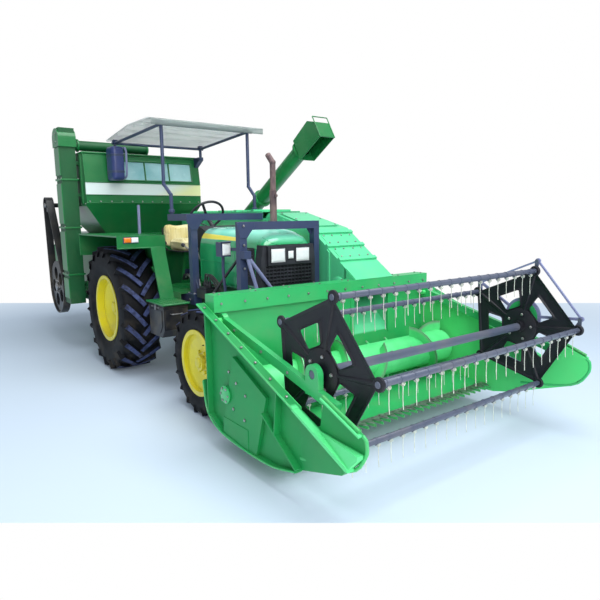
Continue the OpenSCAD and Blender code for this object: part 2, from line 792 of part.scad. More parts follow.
module threshing_body() color(green) place() {
    right = -body_right;
    keel_x = -1000;
    difference() {
        slab(right, body_left) polygon([[-body_front, body_top], [-body_front, body_nose_z],
            [keel_x, body_low],
            [body_rear, body_low], [body_rear, body_top]]);
        slab(right + body_wall, body_left - body_wall)
            polygon([[-body_front - body_wall, body_top - body_wall],
                [-body_front - body_wall, body_nose_z + body_wall],
                    [keel_x - body_wall, body_low + body_wall],
                [body_rear - 1, body_low + body_wall], [body_rear - 1, body_top - body_wall]]);
    }
    difference() {
        slab(body_left - 1, feeder_out) polygon(chute(0));
        slab(body_left + body_wall, feeder_out - body_wall) polygon(chute(body_wall));
    }
}

module straw_hood() color(green) place() {
    right = -body_right;
    outlet_x = 150 - rear_reach;
    outlet_z = 800;
    difference() {
        slab(right, body_left) polygon([[body_rear, body_top], [body_rear, 860], [-rear_reach, 980],
            [-rear_reach, 1300], [hood_knee_x, 1500]]);
        slab(right + body_wall, body_left - body_wall)
            polygon([[body_rear + 1, body_top - body_wall], [body_rear + 1, outlet_z], [outlet_x, outlet_z],
                [outlet_x, 960], [body_wall - rear_reach, 1020], [body_wall - rear_reach, 1290],
                [hood_knee_x, 1488]]);
    }
}

module hitch_bar() color(navy) place() difference() {
    bar_half = 50;
    bar_t = 35;
    pin_x = 70 - rear_reach;
    union() {
        block([pin_x, -bar_half, body_low - bar_t], [-2300, bar_half, body_low]);
        translate([pin_x, 0, body_low - bar_t]) cylinder(h = bar_t, r = bar_half);
    }
    translate([pin_x, 0, body_low - bar_t - 5]) cylinder(h = bar_t + 15, r = 16);
}

function tank_front(z) = -body_front - tank_lean * (z - band_top) / (tank_top - band_top);
function tank_side(t) = let (rim = tank_top + (t > 0 ? 1 : 0))
    [[-1000 - t, body_top + t], [-body_front - t, front_knee_z], [-body_front - t, band_top],
        [-body_front - tank_lean - t, rim], [tank_rear + t, rim], [tank_rear + t, tank_knee_z],
        [tank_rear + 250 + t, body_top + t]];
function tank_end(t) = [[-600 + t, body_top + t], [-tank_right + t, tank_knee_z],
    [-tank_right + t, tank_top + 2],
    [body_left - t, tank_top + 2], [body_left - t, tank_knee_z], [500 - t, body_top + t]];

module tank_form(t) intersection() {
    slab(-tank_right - 1, body_left + 1) polygon(tank_side(t));
    along_x(tank_rear - 50, 100 - body_front) polygon(tank_end(t));
}

module tank_shell() difference() {
    tank_form(0);
    tank_form(tank_wall);
}

module window_zone() block([-body_front - tank_lean - 10, window_y[0], window_z[0]],
    [20 - body_front, window_y[1], window_z[1]]);

module grain_tank() color(green) place() difference() {
    tank_shell();
    window_zone();
}

module tank_window() color(pale) place() intersection() {
    tank_shell();
    window_zone();
}

module intake_canister() color(navy) place() {
    low = tank_top - 350;
    face = 250 - body_front;
    slab(canister_y[0], canister_y[1])
        polygon([[tank_front(low), low], [face - 20, low], [face, low + 30], [face, canister_top - 35],
            [face - 30, canister_top], [-body_front, canister_top], [tank_front(tank_top), tank_top]]);
}

// Grain elevator with its boot, head, cross tube and brackets
module elevator() color(green) place() {
    inner = -tank_right - 35;
    outer = inner - elevator_w;
    middle = (elevator_x[0] + elevator_x[1]) / 2;
    skin = elevator_skin;
    difference() {
        block([elevator_x[0], outer, elevator_low], [elevator_x[1], inner, elevator_top]);
        block([elevator_x[0] + skin, outer + skin, elevator_low - 10],
            [elevator_x[1] - skin, inner - skin, elevator_top - skin]);
    }
    pin_y(middle, elevator_low + 120, inner - 2, -body_right, 80);
    for (z = [2020, 2420])
        block([elevator_x[0] + 20, inner, z], [elevator_x[1] - 20, -tank_right, z + 40]);
    pin_y(cross_tube[0], cross_tube[1], inner - 2, 50, 62);
    pin_y(middle, elevator_top - 120, outer - 18, outer, 60);
}

function tangent_points(a, ra, b, rb) = let (v = b - a, base = atan2(v[1], v[0]),
    lean = acos((ra - rb) / norm(v)))
    [for (s = [1, -1]) for (c = [[a, ra], [b, rb]]) c[0] + c[1] * [cos(base + s * lean),
        sin(base + s * lean)]];

module belt_outline(a, ra, b, rb) {
    p = tangent_points(a, ra, b, rb);
    polygon([p[0], p[1], p[3], p[2]]);
    translate(a) circle(r = ra);
    translate(b) circle(r = rb);
}

// Large and small pulley with their belt and shafts
module belt_drive() color(black) place() {
    y0 = -drive_reach;
    y1 = belt_w - drive_reach;
    rim_r = pulley_r - belt_t + 1;
    slab(y0, y1) difference() {
        belt_outline(pulley_low, pulley_r, pulley_high, pulley_small_r);
        belt_outline(pulley_low, pulley_r - belt_t, pulley_high, pulley_small_r - belt_t);
    }
    slab(y0 + 20, y1 - 20) {
        difference() {
            translate(pulley_low) circle(r = rim_r);
            translate(pulley_low) circle(r = rim_r - 37);
        }
        difference() {
            translate(pulley_low) circle(r = rim_r - 32);
            for (a = [0:72:359])
                translate(pulley_low) rotate(a + 36) translate([(pulley_r - 40) / 2 + 30, 0])
                    circle(r = 85);
        }
        translate(pulley_high) circle(r = pulley_small_r - belt_t + 1);
    }
    pin_y(pulley_low[0], pulley_low[1], y0 + 5, -body_right, 45);
    pin_y(pulley_high[0], pulley_high[1], y0 + 5, -tank_right, 30);
}

// Duct from the tank's foot to the turret that the unloading tube turns on
module unload_elbow() color(green) place() difference() {
    union() {
        block([unload_x - 220, body_left, unload_z - 130], [unload_x + 100, unload_y, unload_z + 20]);
        translate([unload_x, unload_y, unload_z - 130])
            cylinder(h = turret_top - unload_z + 130 - run_gap, r = 110);
    }
    block([unload_x - 212, body_left - 300, unload_z - 122], [unload_x + 92, unload_y - 20, unload_z + 12]);
}

module unload_frame() translate([unload_x, unload_y, unload_z]) rotate([0, -unload_rise, 0]) children();

module unloading_tube() color(green) place() {
    difference() {
        union() {
            unload_frame() rotate([0, 90, 0]) cylinder(h = unload_l, d = unload_d);
            translate([unload_x, unload_y, turret_top]) cylinder(h = 110, r = 108);
        }
        unload_frame() translate([250, 0, 0]) rotate([0, 90, 0])
            cylinder(h = unload_l, d = unload_d - 2 * unload_wall);
        translate([unload_x - 400, unload_y - 400, turret_top - 400]) cube([1400, 800, 400]);
    }
}

// Box at the tube's end, open underneath
module unloading_spout() color(green) place() unload_frame() {
    half = unload_d / 2 + 12;
    end = unload_l + 420;
    low = -half - 60;
    skin = 6;
    difference() {
        slab(-half, half) polygon([[unload_l, low], [unload_l, half], [end - 100, half + 20],
            [end, half - 70],
            [end, low]]);
        slab(-half + skin, half - skin) polygon([[unload_l + skin, low - 10],
            [unload_l + skin, half - skin],
            [end - 103, half + 13], [end - skin, half - 73], [end - skin, low - 10]]);
        translate([unload_l - 1, 0, 0]) rotate([0, 90, 0]) cylinder(h = 20, d = unload_d - 2 * unload_wall);
    }
}

// Header lift cylinders

module lift_frame(s) translate([lift_base[0], s * lift_half, lift_base[1]]) rotate([0, -lift_tilt, 0])
    children();

module lift_barrels() color(navy) place() for (s = [-1, 1]) lift_frame(s) difference() {
    union() {
        rotate([90, 0, 0]) cylinder(h = 40, r = 36, center = true);
        translate([20, 0, 0]) rotate([0, 90, 0]) cylinder(h = barrel_l, r = barrel_r);
    }
    rotate([90, 0, 0]) cylinder(h = 100, r = lift_pin_r + run_gap, center = true);
    translate([80, 0, 0]) rotate([0, 90, 0]) cylinder(h = barrel_l, r = rod_r + run_gap);
}

module lift_rods() color(grey) place() for (s = [-1, 1]) lift_frame(s) difference() {
    union() {
        translate([120, 0, 0]) rotate([0, 90, 0]) cylinder(h = lift_len - 150, r = rod_r);
        translate([lift_len, 0, 0]) rotate([90, 0, 0]) cylinder(h = 36, r = 46, center = true);
    }
    translate([lift_len, 0, 0]) rotate([90, 0, 0]) cylinder(h = 60, r = lift_pin_r + lift_drift,
        center = true);
}

// Header

// Trough sheet: box rail on top, back wall, round trough and floor
module header_trough() color(light_green) place() difference() {
    floor_a = 285;
    floor_x = auger_x + trough_r * cos(floor_a);
    floor_z = auger_z + trough_r * sin(floor_a);
    union() {
        slab(-header_right, header_left) {
            translate([rail_x0, rail_z0]) square([rail_x1 - rail_x0, rail_z1 - rail_z0]);
            translate([back_x - header_wall, auger_z]) square([header_wall, rail_z0 - auger_z]);
            difference() {
                translate([auger_x, auger_z]) circle(r = trough_r + header_wall);
                translate([auger_x, auger_z]) circle(r = trough_r);
                translate([auger_x - 400, auger_z]) square([800, 400]);
                translate([floor_x, auger_z - 400]) square([400, 400]);
            }
            polygon([[floor_x, floor_z - 8], [floor_x, floor_z + 1], [knife_x, knife_z + 10],
                [knife_x, knife_z]]);
        }
        both_sides() {
            slab(lift_half - 40, lift_half - 24) polygon([lift_eye + [-40, -30], lift_eye + [64, -60],
                lift_eye + [64, 120], lift_eye + [20, 60], lift_eye + [-40, 30]]);
            pin_y(lift_eye[0], lift_eye[1], lift_half - 30, lift_half + 30, lift_pin_r);
        }
    }
    slab(-header_right + 8, header_left - 8) translate([rail_x0 + 8, rail_z0 + 8])
        square([rail_x1 - rail_x0 - 16, rail_z1 - rail_z0 - 16]);
    block([back_x - 20, feeder_in + 40, mouth_z0], [back_x + 20, feeder_out - 40, rail_z0 - 20]);
}

// Foot of an end wall, from the rail round the trough to the divider
side_foot = [[2580, 1090], [2600, 500], [2660, 270], [2860, 170], [3220, 140], [3540, 150],
    [divider_x, 212]];
divider_z = 610;
side_outline = concat(side_foot, [[divider_x, divider_z]]);

// One end wall with cover, ribs, flanges, skid and the folded divider point; outside towards +Y
module header_end(inner) {
    outer = inner + header_wall;
    tip = outer + flare;
    flange_w = 56;
    slab(inner, outer) polygon(side_outline);
    intersection() {
        slab(outer - 1, outer + 45) polygon(side_outline);
        union() {
            slab(outer - 2, outer + 28) polygon([[2830, 0], [3290, 0], [3470, 590], [3050, 780]]);
            slab(outer - 2, outer + 45) {
                link2d([3430, 480], [divider_x, 228], 12);
                link2d([3610, 700], [3575, 380], 12);
                link2d([2690, 1090], [2690, 0], 12);
            }
        }
    }
    last = len(side_foot) - 1;
    slab(outer - 1, outer + 40) polygon(concat([for (i = [1:last]) side_foot[i]],
        [for (i = [last:-1:1]) side_foot[i] + [i < last ? 14 : 0, 12]]));
    slab(inner, outer + flange_w)
        polygon([[2580, 1088], [divider_x, divider_z - 2], [divider_x, divider_z + 10], [2580, 1100]]);
    hull() {
        slab(inner + 1, outer - 1)
            polygon([[divider_x - 20, 218], [divider_x - 10, 218], [divider_x - 10, 550],
                [divider_x - 20, 550]]);
        slab(inner + 1, tip - 8)
            polygon([[4230, 372], [front_reach - 20, 500], [front_reach - 20, 520], [4230, 400]]);
    }
    hull() {
        slab(outer + 2, outer + flange_w - 2) polygon([[divider_x - 20, divider_z - 4],
            [divider_x - 3, divider_z - 4], [divider_x - 3, divider_z + 7],
                [divider_x - 20, divider_z + 7]]);
        slab(tip - 60, tip) polygon([[4250, 425], [4260, 410], [4285, 410], [4275, 432]]);
    }
    slab(inner, inner + 10)
        polygon([[divider_x - 10, 480], [3990, 560], [4020, 745], [front_reach - 30, 620],
            [front_reach, 590],
            [front_reach - 10, 500], [4230, 380], [divider_x - 10, 300]]);
    slab(inner + 3, inner + 42) link2d([4024, 740], [front_reach - 32, 617], 12);
    pin_y(arm_x, arm_z, inner - 90, inner + 2, arm_pin_r);
    pin_y(auger_x, auger_z, inner - 20, inner + 2, 30);
    pin_y(auger_x, auger_z, inner + 1, outer + 36, 62);
}

module header_sides() color(light_green) place() {
    header_end(header_left);
    mirror([0, 1, 0]) header_end(header_right);
}

// Knife bar with its row of pointed guards
module cutterbar() color(green) place() {
    width = header_left + header_right - 2;
    count = floor(width / guard_pitch);
    spare = (width - count * guard_pitch) / 2;
    translate([knife_x, 1 - header_right, knife_z - 8]) linear_extrude(20) {
        square([40, width]);
        for (k = [0:count - 1])
            translate([39, spare + guard_pitch * (k + 0.5)])
                polygon([[0, -17], [20, -15], [85, -3], [85, 3], [20, 15], [0, 17]]);
    }
}

function helix(y0, y1, turn, hand, r_in, r_out, t, steps) = [for (i = [0:steps])
    let (y = y0 + (y1 - y0) * i / steps, a = turn + hand * 360 * (y - y0) / auger_pitch)
    for (c = [[r_in, -t / 2], [r_out, -t / 2], [r_out, t / 2], [r_in, t / 2]]) [c[0] * cos(a), y + c[1],
        c[0] * sin(a)]];

// One helical flight along Y
module flight(y0, y1, turn, hand) {
    per_turn = 20;
    steps = ceil(per_turn * (y1 - y0) / auger_pitch);
    r_in = (auger_tube_d / 2 + run_gap) / cos(180 / per_turn);
    points = helix(y0, y1, turn, hand, r_in, auger_d / 2, 8, steps);
    last = 4 * steps;
    flip = hand > 0;
    tris = [for (i = [0:steps - 1]) for (j = [0:3]) let (a = 4 * i + j, b = 4 * i + (j + 1) % 4)
        for (t = [[a, b, b + 4], [a, b + 4, a + 4]]) t];
    ends = [[3, 2, 1], [3, 1, 0], [last, last + 1, last + 2], [last, last + 2, last + 3]];
    polyhedron(points, [for (t = concat(tris, ends)) flip ? [t[2], t[1], t[0]] : t]);
}

// Auger: tube on two stubs, opposed flights and the fingers before the feeder
module header_auger() color(light_green) place() {
    y0 = 30 - header_right;
    y1 = header_left - 30;
    difference() {
        pin_y(auger_x, auger_z, y0, y1, auger_tube_d / 2);
        pin_y(auger_x, auger_z, y0 - 1, y1 + 1, 30 + run_gap);
        pin_y(auger_x, auger_z, y0 + 40, y1 - 40, auger_tube_d / 2 - 8);
    }
    for (k = [0:5])
        translate([auger_x, feeder_in + 60 + 80 * k, auger_z]) rotate([0, 120 * k + 30, 0])
            translate([0, 0, auger_tube_d / 2 - 4]) cylinder(h = 78, d = 16);
    translate([auger_x, 0, auger_z]) {
        flight(y0 + 10, feeder_in + 20, 0, 1);
        flight(feeder_out - 20, y1 - 10, 90, -1);
    }
}

// Reel

function vertex(k) = [cos(reel_phase + 72 * k), sin(reel_phase + 72 * k)];

// Arms that carry the reel; the left one also holds the eccentric disc
module reel_arm(y0, y1) slab(y0, y1) difference() {
    union() {
        link2d([arm_x, arm_z], arm_front, 64);
        translate([arm_x, arm_z]) circle(r = 50);
        translate([reel_x, reel_z]) circle(r = 62);
        translate([reel_x - 62, reel_z - 130]) square([124, 130]);
    }
    translate([arm_x, arm_z]) circle(r = arm_pin_r + run_gap);
    translate([reel_x, reel_z]) circle(r = shaft_r + run_gap);
}

module reel_arms() color(light_green) place() {
    reel_arm(right_arm[0], right_arm[1]);
    reel_arm(left_arm[0], left_arm[1]);
    slab(ring_y - 6, left_arm[0] + 1) difference() {
        translate([reel_x, reel_z + ring_rise]) circle(r = disc_r);
        translate([reel_x, reel_z]) circle(r = shaft_r + side_gap);
    }
}

// Pentagon plate with cut-outs between its spokes
module spider2d() {
    difference() {
        union() {
            polygon([for (k = [0:4]) reel_r * vertex(k)]);
            for (k = [0:4])
                translate(reel_r * vertex(k)) circle(r = bar_d / 2 + 22);
        }
        for (k = [0:4])
            rotate(reel_phase + 36 + 72 * k) {
                polygon([[reel_r * 0.33, -reel_r * 0.14], [reel_r * 0.6, -reel_r * 0.21],
                    [reel_r * 0.6, reel_r * 0.21], [reel_r * 0.33, reel_r * 0.14]]);
                translate([reel_r * 0.205, 0]) circle(r = 26);
            }
        for (k = [0:4])
            translate(reel_r * vertex(k)) circle(r = bar_d / 2 + fit_gap);
    }
}

// Pressed ribs along the plate's edges, its spokes and round the hub
module spider_ribs2d() {
    difference() {
        polygon([for (k = [0:4]) reel_r * 0.97 * vertex(k)]);
        polygon([for (k = [0:4]) reel_r * 0.89 * vertex(k)]);
        for (k = [0:4])
            translate(reel_r * vertex(k)) circle(r = bar_d / 2 + 24);
    }
    difference() {
        circle(r = reel_r * 0.31);
        circle(r = reel_r * 0.27);
    }
    for (k = [0:4])
        link2d(reel_r * 0.29 * vertex(k), reel_r * 0.82 * vertex(k), 22);
}

module reel_spiders() color(black) place() {
    for (y = [right_spider, left_spider]) {
        slab(y, y + spider_t) translate([reel_x, reel_z]) spider2d();
        slab(y - rib_h, y + 1) translate([reel_x, reel_z]) spider_ribs2d();
    }
    pin_y(reel_x, reel_z, right_spider, left_spider + spider_t, 48);
    pin_y(reel_x, reel_z, right_arm[0] + 2, left_arm[1] - 2, shaft_r);
}

// One tine bar: tube, hanging tines and the crank that keeps them upright
module tine_bar(k) color(grey) place() {
    c = [reel_x, reel_z] + reel_r * vertex(k);
    y0 = right_spider - 12;
    first = right_spider + spider_t + 60;
    pitch = (left_spider - 60 - first) / (tines - 1);
    pin_y(c[0], c[1], y0, crank_y + crank_t, bar_d / 2);
    for (i = [0:tines - 1])
        translate([c[0], first + pitch * i, c[1] - tine_l]) cylinder(h = tine_l, d = tine_d, $fn = 16);
    slab(crank_y, crank_y + crank_t) {
        translate(c) circle(r = bar_d / 2 + 4);
        translate(c + [-14, 0]) square([28, ring_rise]);
        translate(c + [0, ring_rise]) circle(r = 16);
    }
    pin_y(c[0], c[1] + ring_rise, crank_y + crank_t - 1, ring_y + ring_t + 6, crank_pin_r);
}

module tine_bar_1() tine_bar(0);
module tine_bar_2() tine_bar(1);
module tine_bar_3() tine_bar(2);
module tine_bar_4() tine_bar(3);
module tine_bar_5() tine_bar(4);

// Star-shaped ring that turns on the eccentric disc and steers the cranks
module reel_ring() color(black) place() slab(ring_y, ring_y + ring_t)
    translate([reel_x, reel_z + ring_rise]) difference() {
    union() {
        circle(r = disc_r + 26);
        for (k = [0:4]) {
            link2d([0, 0], reel_r * vertex(k), 22);
            translate(reel_r * vertex(k)) circle(r = 20);
            link2d(reel_r * vertex(k), reel_r * vertex(k + 1), 14);
        }
    }
    circle(r = disc_r + run_gap);
    for (k = [0:4])
        translate(reel_r * vertex(k)) circle(r = crank_pin_r + 1);
}

main_frame();
gearbox_housing();
engine_block();
front_support();
front_axle();
hood();
grille_nose();
lamps();
exhaust_pipe();
dash_console();
steering_wheel();
seat_cushions();
fenders();
platform();
tool_box();
front_portal();
rear_portal();
canopy_posts();
canopy_roof();
upper_feeder();
threshing_body();
straw_hood();
hitch_bar();
grain_tank();
tank_window();
intake_canister();
elevator();
belt_drive();
unload_elbow();
unloading_tube();
unloading_spout();
knuckle_left();
knuckle_right();
rear_rim_left();
rear_rim_right();
rear_tyre_left();
rear_tyre_right();
front_rim_left();
front_rim_right();
front_tyre_left();
front_tyre_right();
lift_barrels();
lift_rods();
header_trough();
header_sides();
lower_feeder();
cutterbar();
header_auger();
reel_arms();
reel_spiders();
tine_bar_1();
tine_bar_2();
tine_bar_3();
tine_bar_4();
tine_bar_5();
reel_ring();
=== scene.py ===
import bmesh
import bpy
import numpy as np
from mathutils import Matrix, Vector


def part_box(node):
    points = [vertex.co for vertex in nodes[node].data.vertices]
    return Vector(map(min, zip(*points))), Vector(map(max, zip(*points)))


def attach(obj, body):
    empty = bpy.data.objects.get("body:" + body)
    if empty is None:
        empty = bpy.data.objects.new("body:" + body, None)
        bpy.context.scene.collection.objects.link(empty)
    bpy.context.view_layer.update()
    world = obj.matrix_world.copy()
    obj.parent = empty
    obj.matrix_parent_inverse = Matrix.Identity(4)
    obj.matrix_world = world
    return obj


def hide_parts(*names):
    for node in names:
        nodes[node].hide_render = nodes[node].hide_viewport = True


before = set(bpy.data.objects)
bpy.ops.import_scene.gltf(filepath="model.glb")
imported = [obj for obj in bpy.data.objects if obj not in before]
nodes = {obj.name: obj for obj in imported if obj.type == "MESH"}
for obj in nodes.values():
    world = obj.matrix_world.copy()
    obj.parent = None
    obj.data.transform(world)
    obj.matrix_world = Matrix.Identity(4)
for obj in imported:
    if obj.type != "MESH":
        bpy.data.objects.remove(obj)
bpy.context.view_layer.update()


# Yard and light: a pale blue drive on a white ground, an overcast sky and two large soft lamps.
# The camera stands ahead of the machine's right front corner, at a grown person's eye height.
class Tone:
    """A socket of a material's nodes; arithmetic on it adds Math nodes."""

    def __init__(self, tree, socket=None):
        self.tree, self.socket = tree, socket

    def node(self, kind, settings=None, sockets=None, out=0):
        """Adds a node: its settings first, then the values or links of its sockets."""
        new = self.tree.nodes.new("ShaderNode" + kind)
        for key, value in (settings or {}).items():
            setattr(new, key, value)
        for key, value in (sockets or {}).items():
            if isinstance(value, Tone):
                self.tree.links.new(value.socket, new.inputs[key])
            else:
                new.inputs[key].default_value = value
        return Tone(self.tree, new.outputs[out])

    def maths(self, operation, first, second=0.0):
        """A Math node of two values."""
        return self.node("Math", {"operation": operation}, {0: first, 1: second})

    def __add__(self, other):
        return self.maths("ADD", self, other)

    def __sub__(self, other):
        return self.maths("SUBTRACT", self, other)

    def __rsub__(self, other):
        return self.maths("SUBTRACT", other, self)

    def __mul__(self, other):
        return self.maths("MULTIPLY", self, other)

    def __truediv__(self, other):
        return self.maths("DIVIDE", self, other)

    def __pow__(self, other):
        return self.maths("POWER", self, other)

    __radd__, __rmul__ = __add__, __mul__

    def clip(self, low=0.0, high=1.0):
        """The value, held between low and high."""
        return self.node("Clamp", None, {"Value": self, "Min": low, "Max": high})

    def ramp(self, start, end):
        """0 below start, 1 above end and a straight slope between them."""
        return ((self - start) / (end - start)).clip()

    def noise(self, scale, detail=3.0, stretch=(1, 1, 1)):
        """Cloudy noise of about 1 / scale metres, on these coordinates."""
        laid = self.node("Mapping", None, {"Vector": self, "Scale": stretch})
        return self.node("TexNoise", None, {"Vector": laid, "Scale": scale, "Detail": detail})

    def axis(self, name):
        """One part of a vector: X, Y or Z."""
        return self.node("SeparateXYZ", None, {"Vector": self}, out=name)

    def blend(self, first, second):
        """Colour between two colours, by this factor."""
        return self.node("Mix", {"data_type": "RGBA"}, {0: self, 6: first, 7: second}, out=2)

    def bump(self, strength, distance=0.002):
        """Normals tilted by this height's slope."""
        return self.node("Bump", None, {"Height": self, "Strength": strength, "Distance": distance})

    def to(self, socket):
        """Links this to a node's input."""
        self.tree.links.new(self.socket, socket)


def srgb(red, green, blue):
    """Screen colour of 0 to 255 as linear light."""
    part = np.array([red, green, blue]) / 255
    linear = np.where(part < 0.04045, part / 12.92, ((part + 0.055) / 1.055) ** 2.4)
    return (*(float(v) for v in linear), 1.0)


def finish(name, **constants):
    """A material, its Principled shader with these constants, and the object's own coordinates."""
    material = bpy.data.materials.new(name)
    material.use_nodes = True
    shader = material.node_tree.nodes["Principled BSDF"]
    for key, value in constants.items():
        shader.inputs[key.replace("_", " ")].default_value = value
    return material, shader, Tone(material.node_tree).node("TexCoord", out="Object")


def quads(rows, cols, wrap_rows=False, wrap_cols=False):
    """Faces of a grid of points, one between each four neighbours; a wrapped side joins its ends."""
    r = np.arange(rows if wrap_rows else rows - 1)[:, None]
    c = np.arange(cols if wrap_cols else cols - 1)[None]
    after_r, after_c = (r + 1) % rows, (c + 1) % cols
    four = [r * cols + c, r * cols + after_c, after_r * cols + after_c, after_r * cols + c]
    return np.stack(np.broadcast_arrays(*four), -1).reshape(-1, 4)


rim_low, rim_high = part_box("rear_rim_left")
AXLE = np.array([(rim_low[0] + rim_high[0]) / 2, (rim_high[1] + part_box("rear_rim_right")[0][1]) / 2, 0.0])
LENS_MM, SENSOR_MM, SIGHT = 32.295, 36.0, 200.0
CAMERA_AT = AXLE + (6.2550, -2.8649, 1.7449)
CAMERA_RIGHT = (0.60176, 0.79860, -0.01120)
CAMERA_UP = (-0.11662, 0.10173, 0.98795)
CAMERA_BACK = (0.79012, -0.59320, 0.15435)
FOCAL_PX, MIDDLE_PX, DRIVE_TOP_PX, DRIVE_LOW_PX = 538.25, 300.0, 303.0, 523.0
DRIVE_BLUE, DRIVE_LIT = srgb(222, 237, 252), srgb(190, 204, 219)
WHITE = srgb(255, 255, 255)
FLOOR_HALF, FLOOR_LINES = 60.0, 7
SHADED, SHADED_NEAR, SHADED_FAR = 0.94, 5.0, 8.5
SKY_LOW, SKY_HIGH = srgb(186, 200, 214), srgb(236, 243, 250)
SKY_POWER = 0.62

camera = bpy.data.objects.new("camera", bpy.data.cameras.new("camera"))
camera.data.lens, camera.data.sensor_width, camera.data.sensor_fit = LENS_MM, SENSOR_MM, "HORIZONTAL"
camera.data.clip_end = SIGHT


def set_down(thing, right, up, back, at):
    """Links an object whose three axes and place are these."""
    place = np.eye(4)
    place[:3] = np.stack([right, up, back, at], 1)
    thing.matrix_world = place.T
    bpy.context.scene.collection.objects.link(thing)


set_down(camera, CAMERA_RIGHT, CAMERA_UP, CAMERA_BACK, CAMERA_AT)
bpy.context.scene.camera = camera
bpy.context.scene.view_settings.view_transform = "Standard"

floor_mesh = bpy.data.meshes.new("drive")
side = np.linspace(-FLOOR_HALF, FLOOR_HALF, FLOOR_LINES)
floor_mesh.from_pydata(np.stack(np.meshgrid(side, side, [0.0]), -1).reshape(-1, 3).tolist(), [],
                       quads(FLOOR_LINES, FLOOR_LINES)[:, ::-1].tolist())
floor = bpy.data.objects.new("drive", floor_mesh)
bpy.context.scene.collection.objects.link(floor)
drive, drive_shader, ground = finish("drive_paving", Roughness=0.9, Specular_IOR_Level=0.1)


def beyond(row):
    """1 on the ground past the line that the camera sees at this picture row, 0 before it."""
    slope_line = np.array(CAMERA_UP) - (row - MIDDLE_PX) / FOCAL_PX * np.array(CAMERA_BACK)
    reach = ground.axis("X") * float(slope_line[0]) + ground.axis("Y") * float(slope_line[1])
    return (reach - float(slope_line @ CAMERA_AT)).ramp(-0.002, 0.002)


strip = beyond(DRIVE_LOW_PX) * (1 - beyond(DRIVE_TOP_PX))
paving = (strip * (0.97 + 0.03 * ground.noise(2.0))).blend(WHITE, DRIVE_BLUE)
seen = ground.node("LightPath", out="Is Camera Ray")
(seen * strip).blend(paving, DRIVE_LIT).to(drive_shader.inputs["Base Color"])
glow = ground.node("Emission", None, {"Color": paving, "Strength": 1.0})
away = (ground.axis("X") ** 2 + ground.axis("Y") ** 2) ** 0.5
shaded = strip * (SHADED - SHADED * away.ramp(SHADED_NEAR, SHADED_FAR))
lit_drive = Tone(drive.node_tree, drive_shader.outputs[0])
shown = ground.node("MixShader", None, {0: seen * (1 - shaded), 1: lit_drive, 2: glow})
shown.to(drive.node_tree.nodes["Material Output"].inputs["Surface"])
floor_mesh.materials.append(drive)

world = bpy.data.worlds.new("overcast")
bpy.context.scene.world = world
world.use_nodes = True
sky = Tone(world.node_tree)
cloud = sky.node("TexCoord", out="Generated").axis("Z").ramp(-0.2, 0.9).blend(SKY_LOW, SKY_HIGH)
rays = [sky.node("LightPath", out=f"Is {ray} Ray") for ray in ("Camera", "Glossy", "Transmission")]
plain = (rays[0] + rays[1] * 0.35 + rays[2]).clip()
background = sky.node("Background", None, {"Color": plain.blend(cloud, WHITE),
                                           "Strength": SKY_POWER + (1 - SKY_POWER) * plain})
background.to(world.node_tree.nodes["World Output"].inputs["Surface"])


def soft_lamp(name, at, aim, size, watts, tint):
    """Square lamp that faces its aim point: its back axis points from the aim to the lamp."""
    light = bpy.data.lights.new(name, "AREA")
    light.energy, light.size, light.color = watts, size, tint
    back = np.subtract(at, aim) / np.linalg.norm(np.subtract(at, aim))
    across = np.cross((0, 0, 1), back) / np.linalg.norm(np.cross((0, 0, 1), back))
    set_down(bpy.data.objects.new(name, light), across, np.cross(back, across), back, at)


soft_lamp("sky_lamp", (3.5, 0.5, 9.0), (0.3, 0.0, 0.8), size=7.0, watts=860, tint=(0.97, 0.99, 1.0))
soft_lamp("front_lamp", (10.0, -3.0, 5.5), (0.8, 0.0, 1.0), size=5.0, watts=620, tint=(1.0, 1.0, 0.99))


# Tractor backbone: cast iron engine, gearbox, front support and beam axle, all painted one dull
# green after assembly; housings are held together by rows of hexagon screws.
FIELD_DUST, BARE_IRON = srgb(150, 138, 112), srgb(70, 66, 62)


def paint(name, colour, dust=0.5, gloss=0.3, fade=0.16, chips=0.5, marks=(), coat=0.16):
    """Sprayed enamel: slow cloudy fade, coloured marks (some of them painted light or shade), dust that thins
    out upwards, chips, orange peel.
    """
    material, shader, place = finish(name, Specular_IOR_Level=0.36, Coat_Roughness=0.12)
    deep = (*(c * (1 - fade) for c in colour[:3]), 1.0)
    cloudy = place.noise(1.7, 5.0)
    tint = cloudy.ramp(0.35, 0.68).blend(deep, colour)
    for zone, mark in marks:
        tint = zone(place).blend(tint, mark)
    low = 1 - place.axis("Z").ramp(0.1, 1.5)
    film = (place.noise(5.0, 6.0).ramp(0.46, 0.72) * (0.12 + 0.55 * low) * dust).clip()
    chip = place.noise(70.0, 2.0).ramp(0.735, 0.75) * place.noise(3.0).ramp(0.48, 0.62) * chips
    chip.blend(film.blend(tint, FIELD_DUST), BARE_IRON).to(shader.inputs["Base Color"])
    (gloss + 0.1 * cloudy + 0.45 * film).to(shader.inputs["Roughness"])
    (coat * (1 - 0.9 * film)).to(shader.inputs["Coat Weight"])
    place.noise(240.0, 1.0).bump(0.06, 0.001).to(shader.inputs["Normal"])
    return material


def mottled(name, dark, light, grain, span=(0.3, 0.7), **constants):
    """A material whose colour drifts between two tones by a cloudy noise of this grain, over this span of it;
    its shader, coordinates and noise come with it."""
    material, shader, place = finish(name, **constants)
    drift = place.noise(*grain)
    drift.ramp(*span).blend(dark, light).to(shader.inputs["Base Color"])
    return material, shader, place, drift


def dress(material, *names):
    """The CAD nodes take this finish."""
    for name in names:
        nodes[name].data.materials.clear()
        nodes[name].data.materials.append(material)


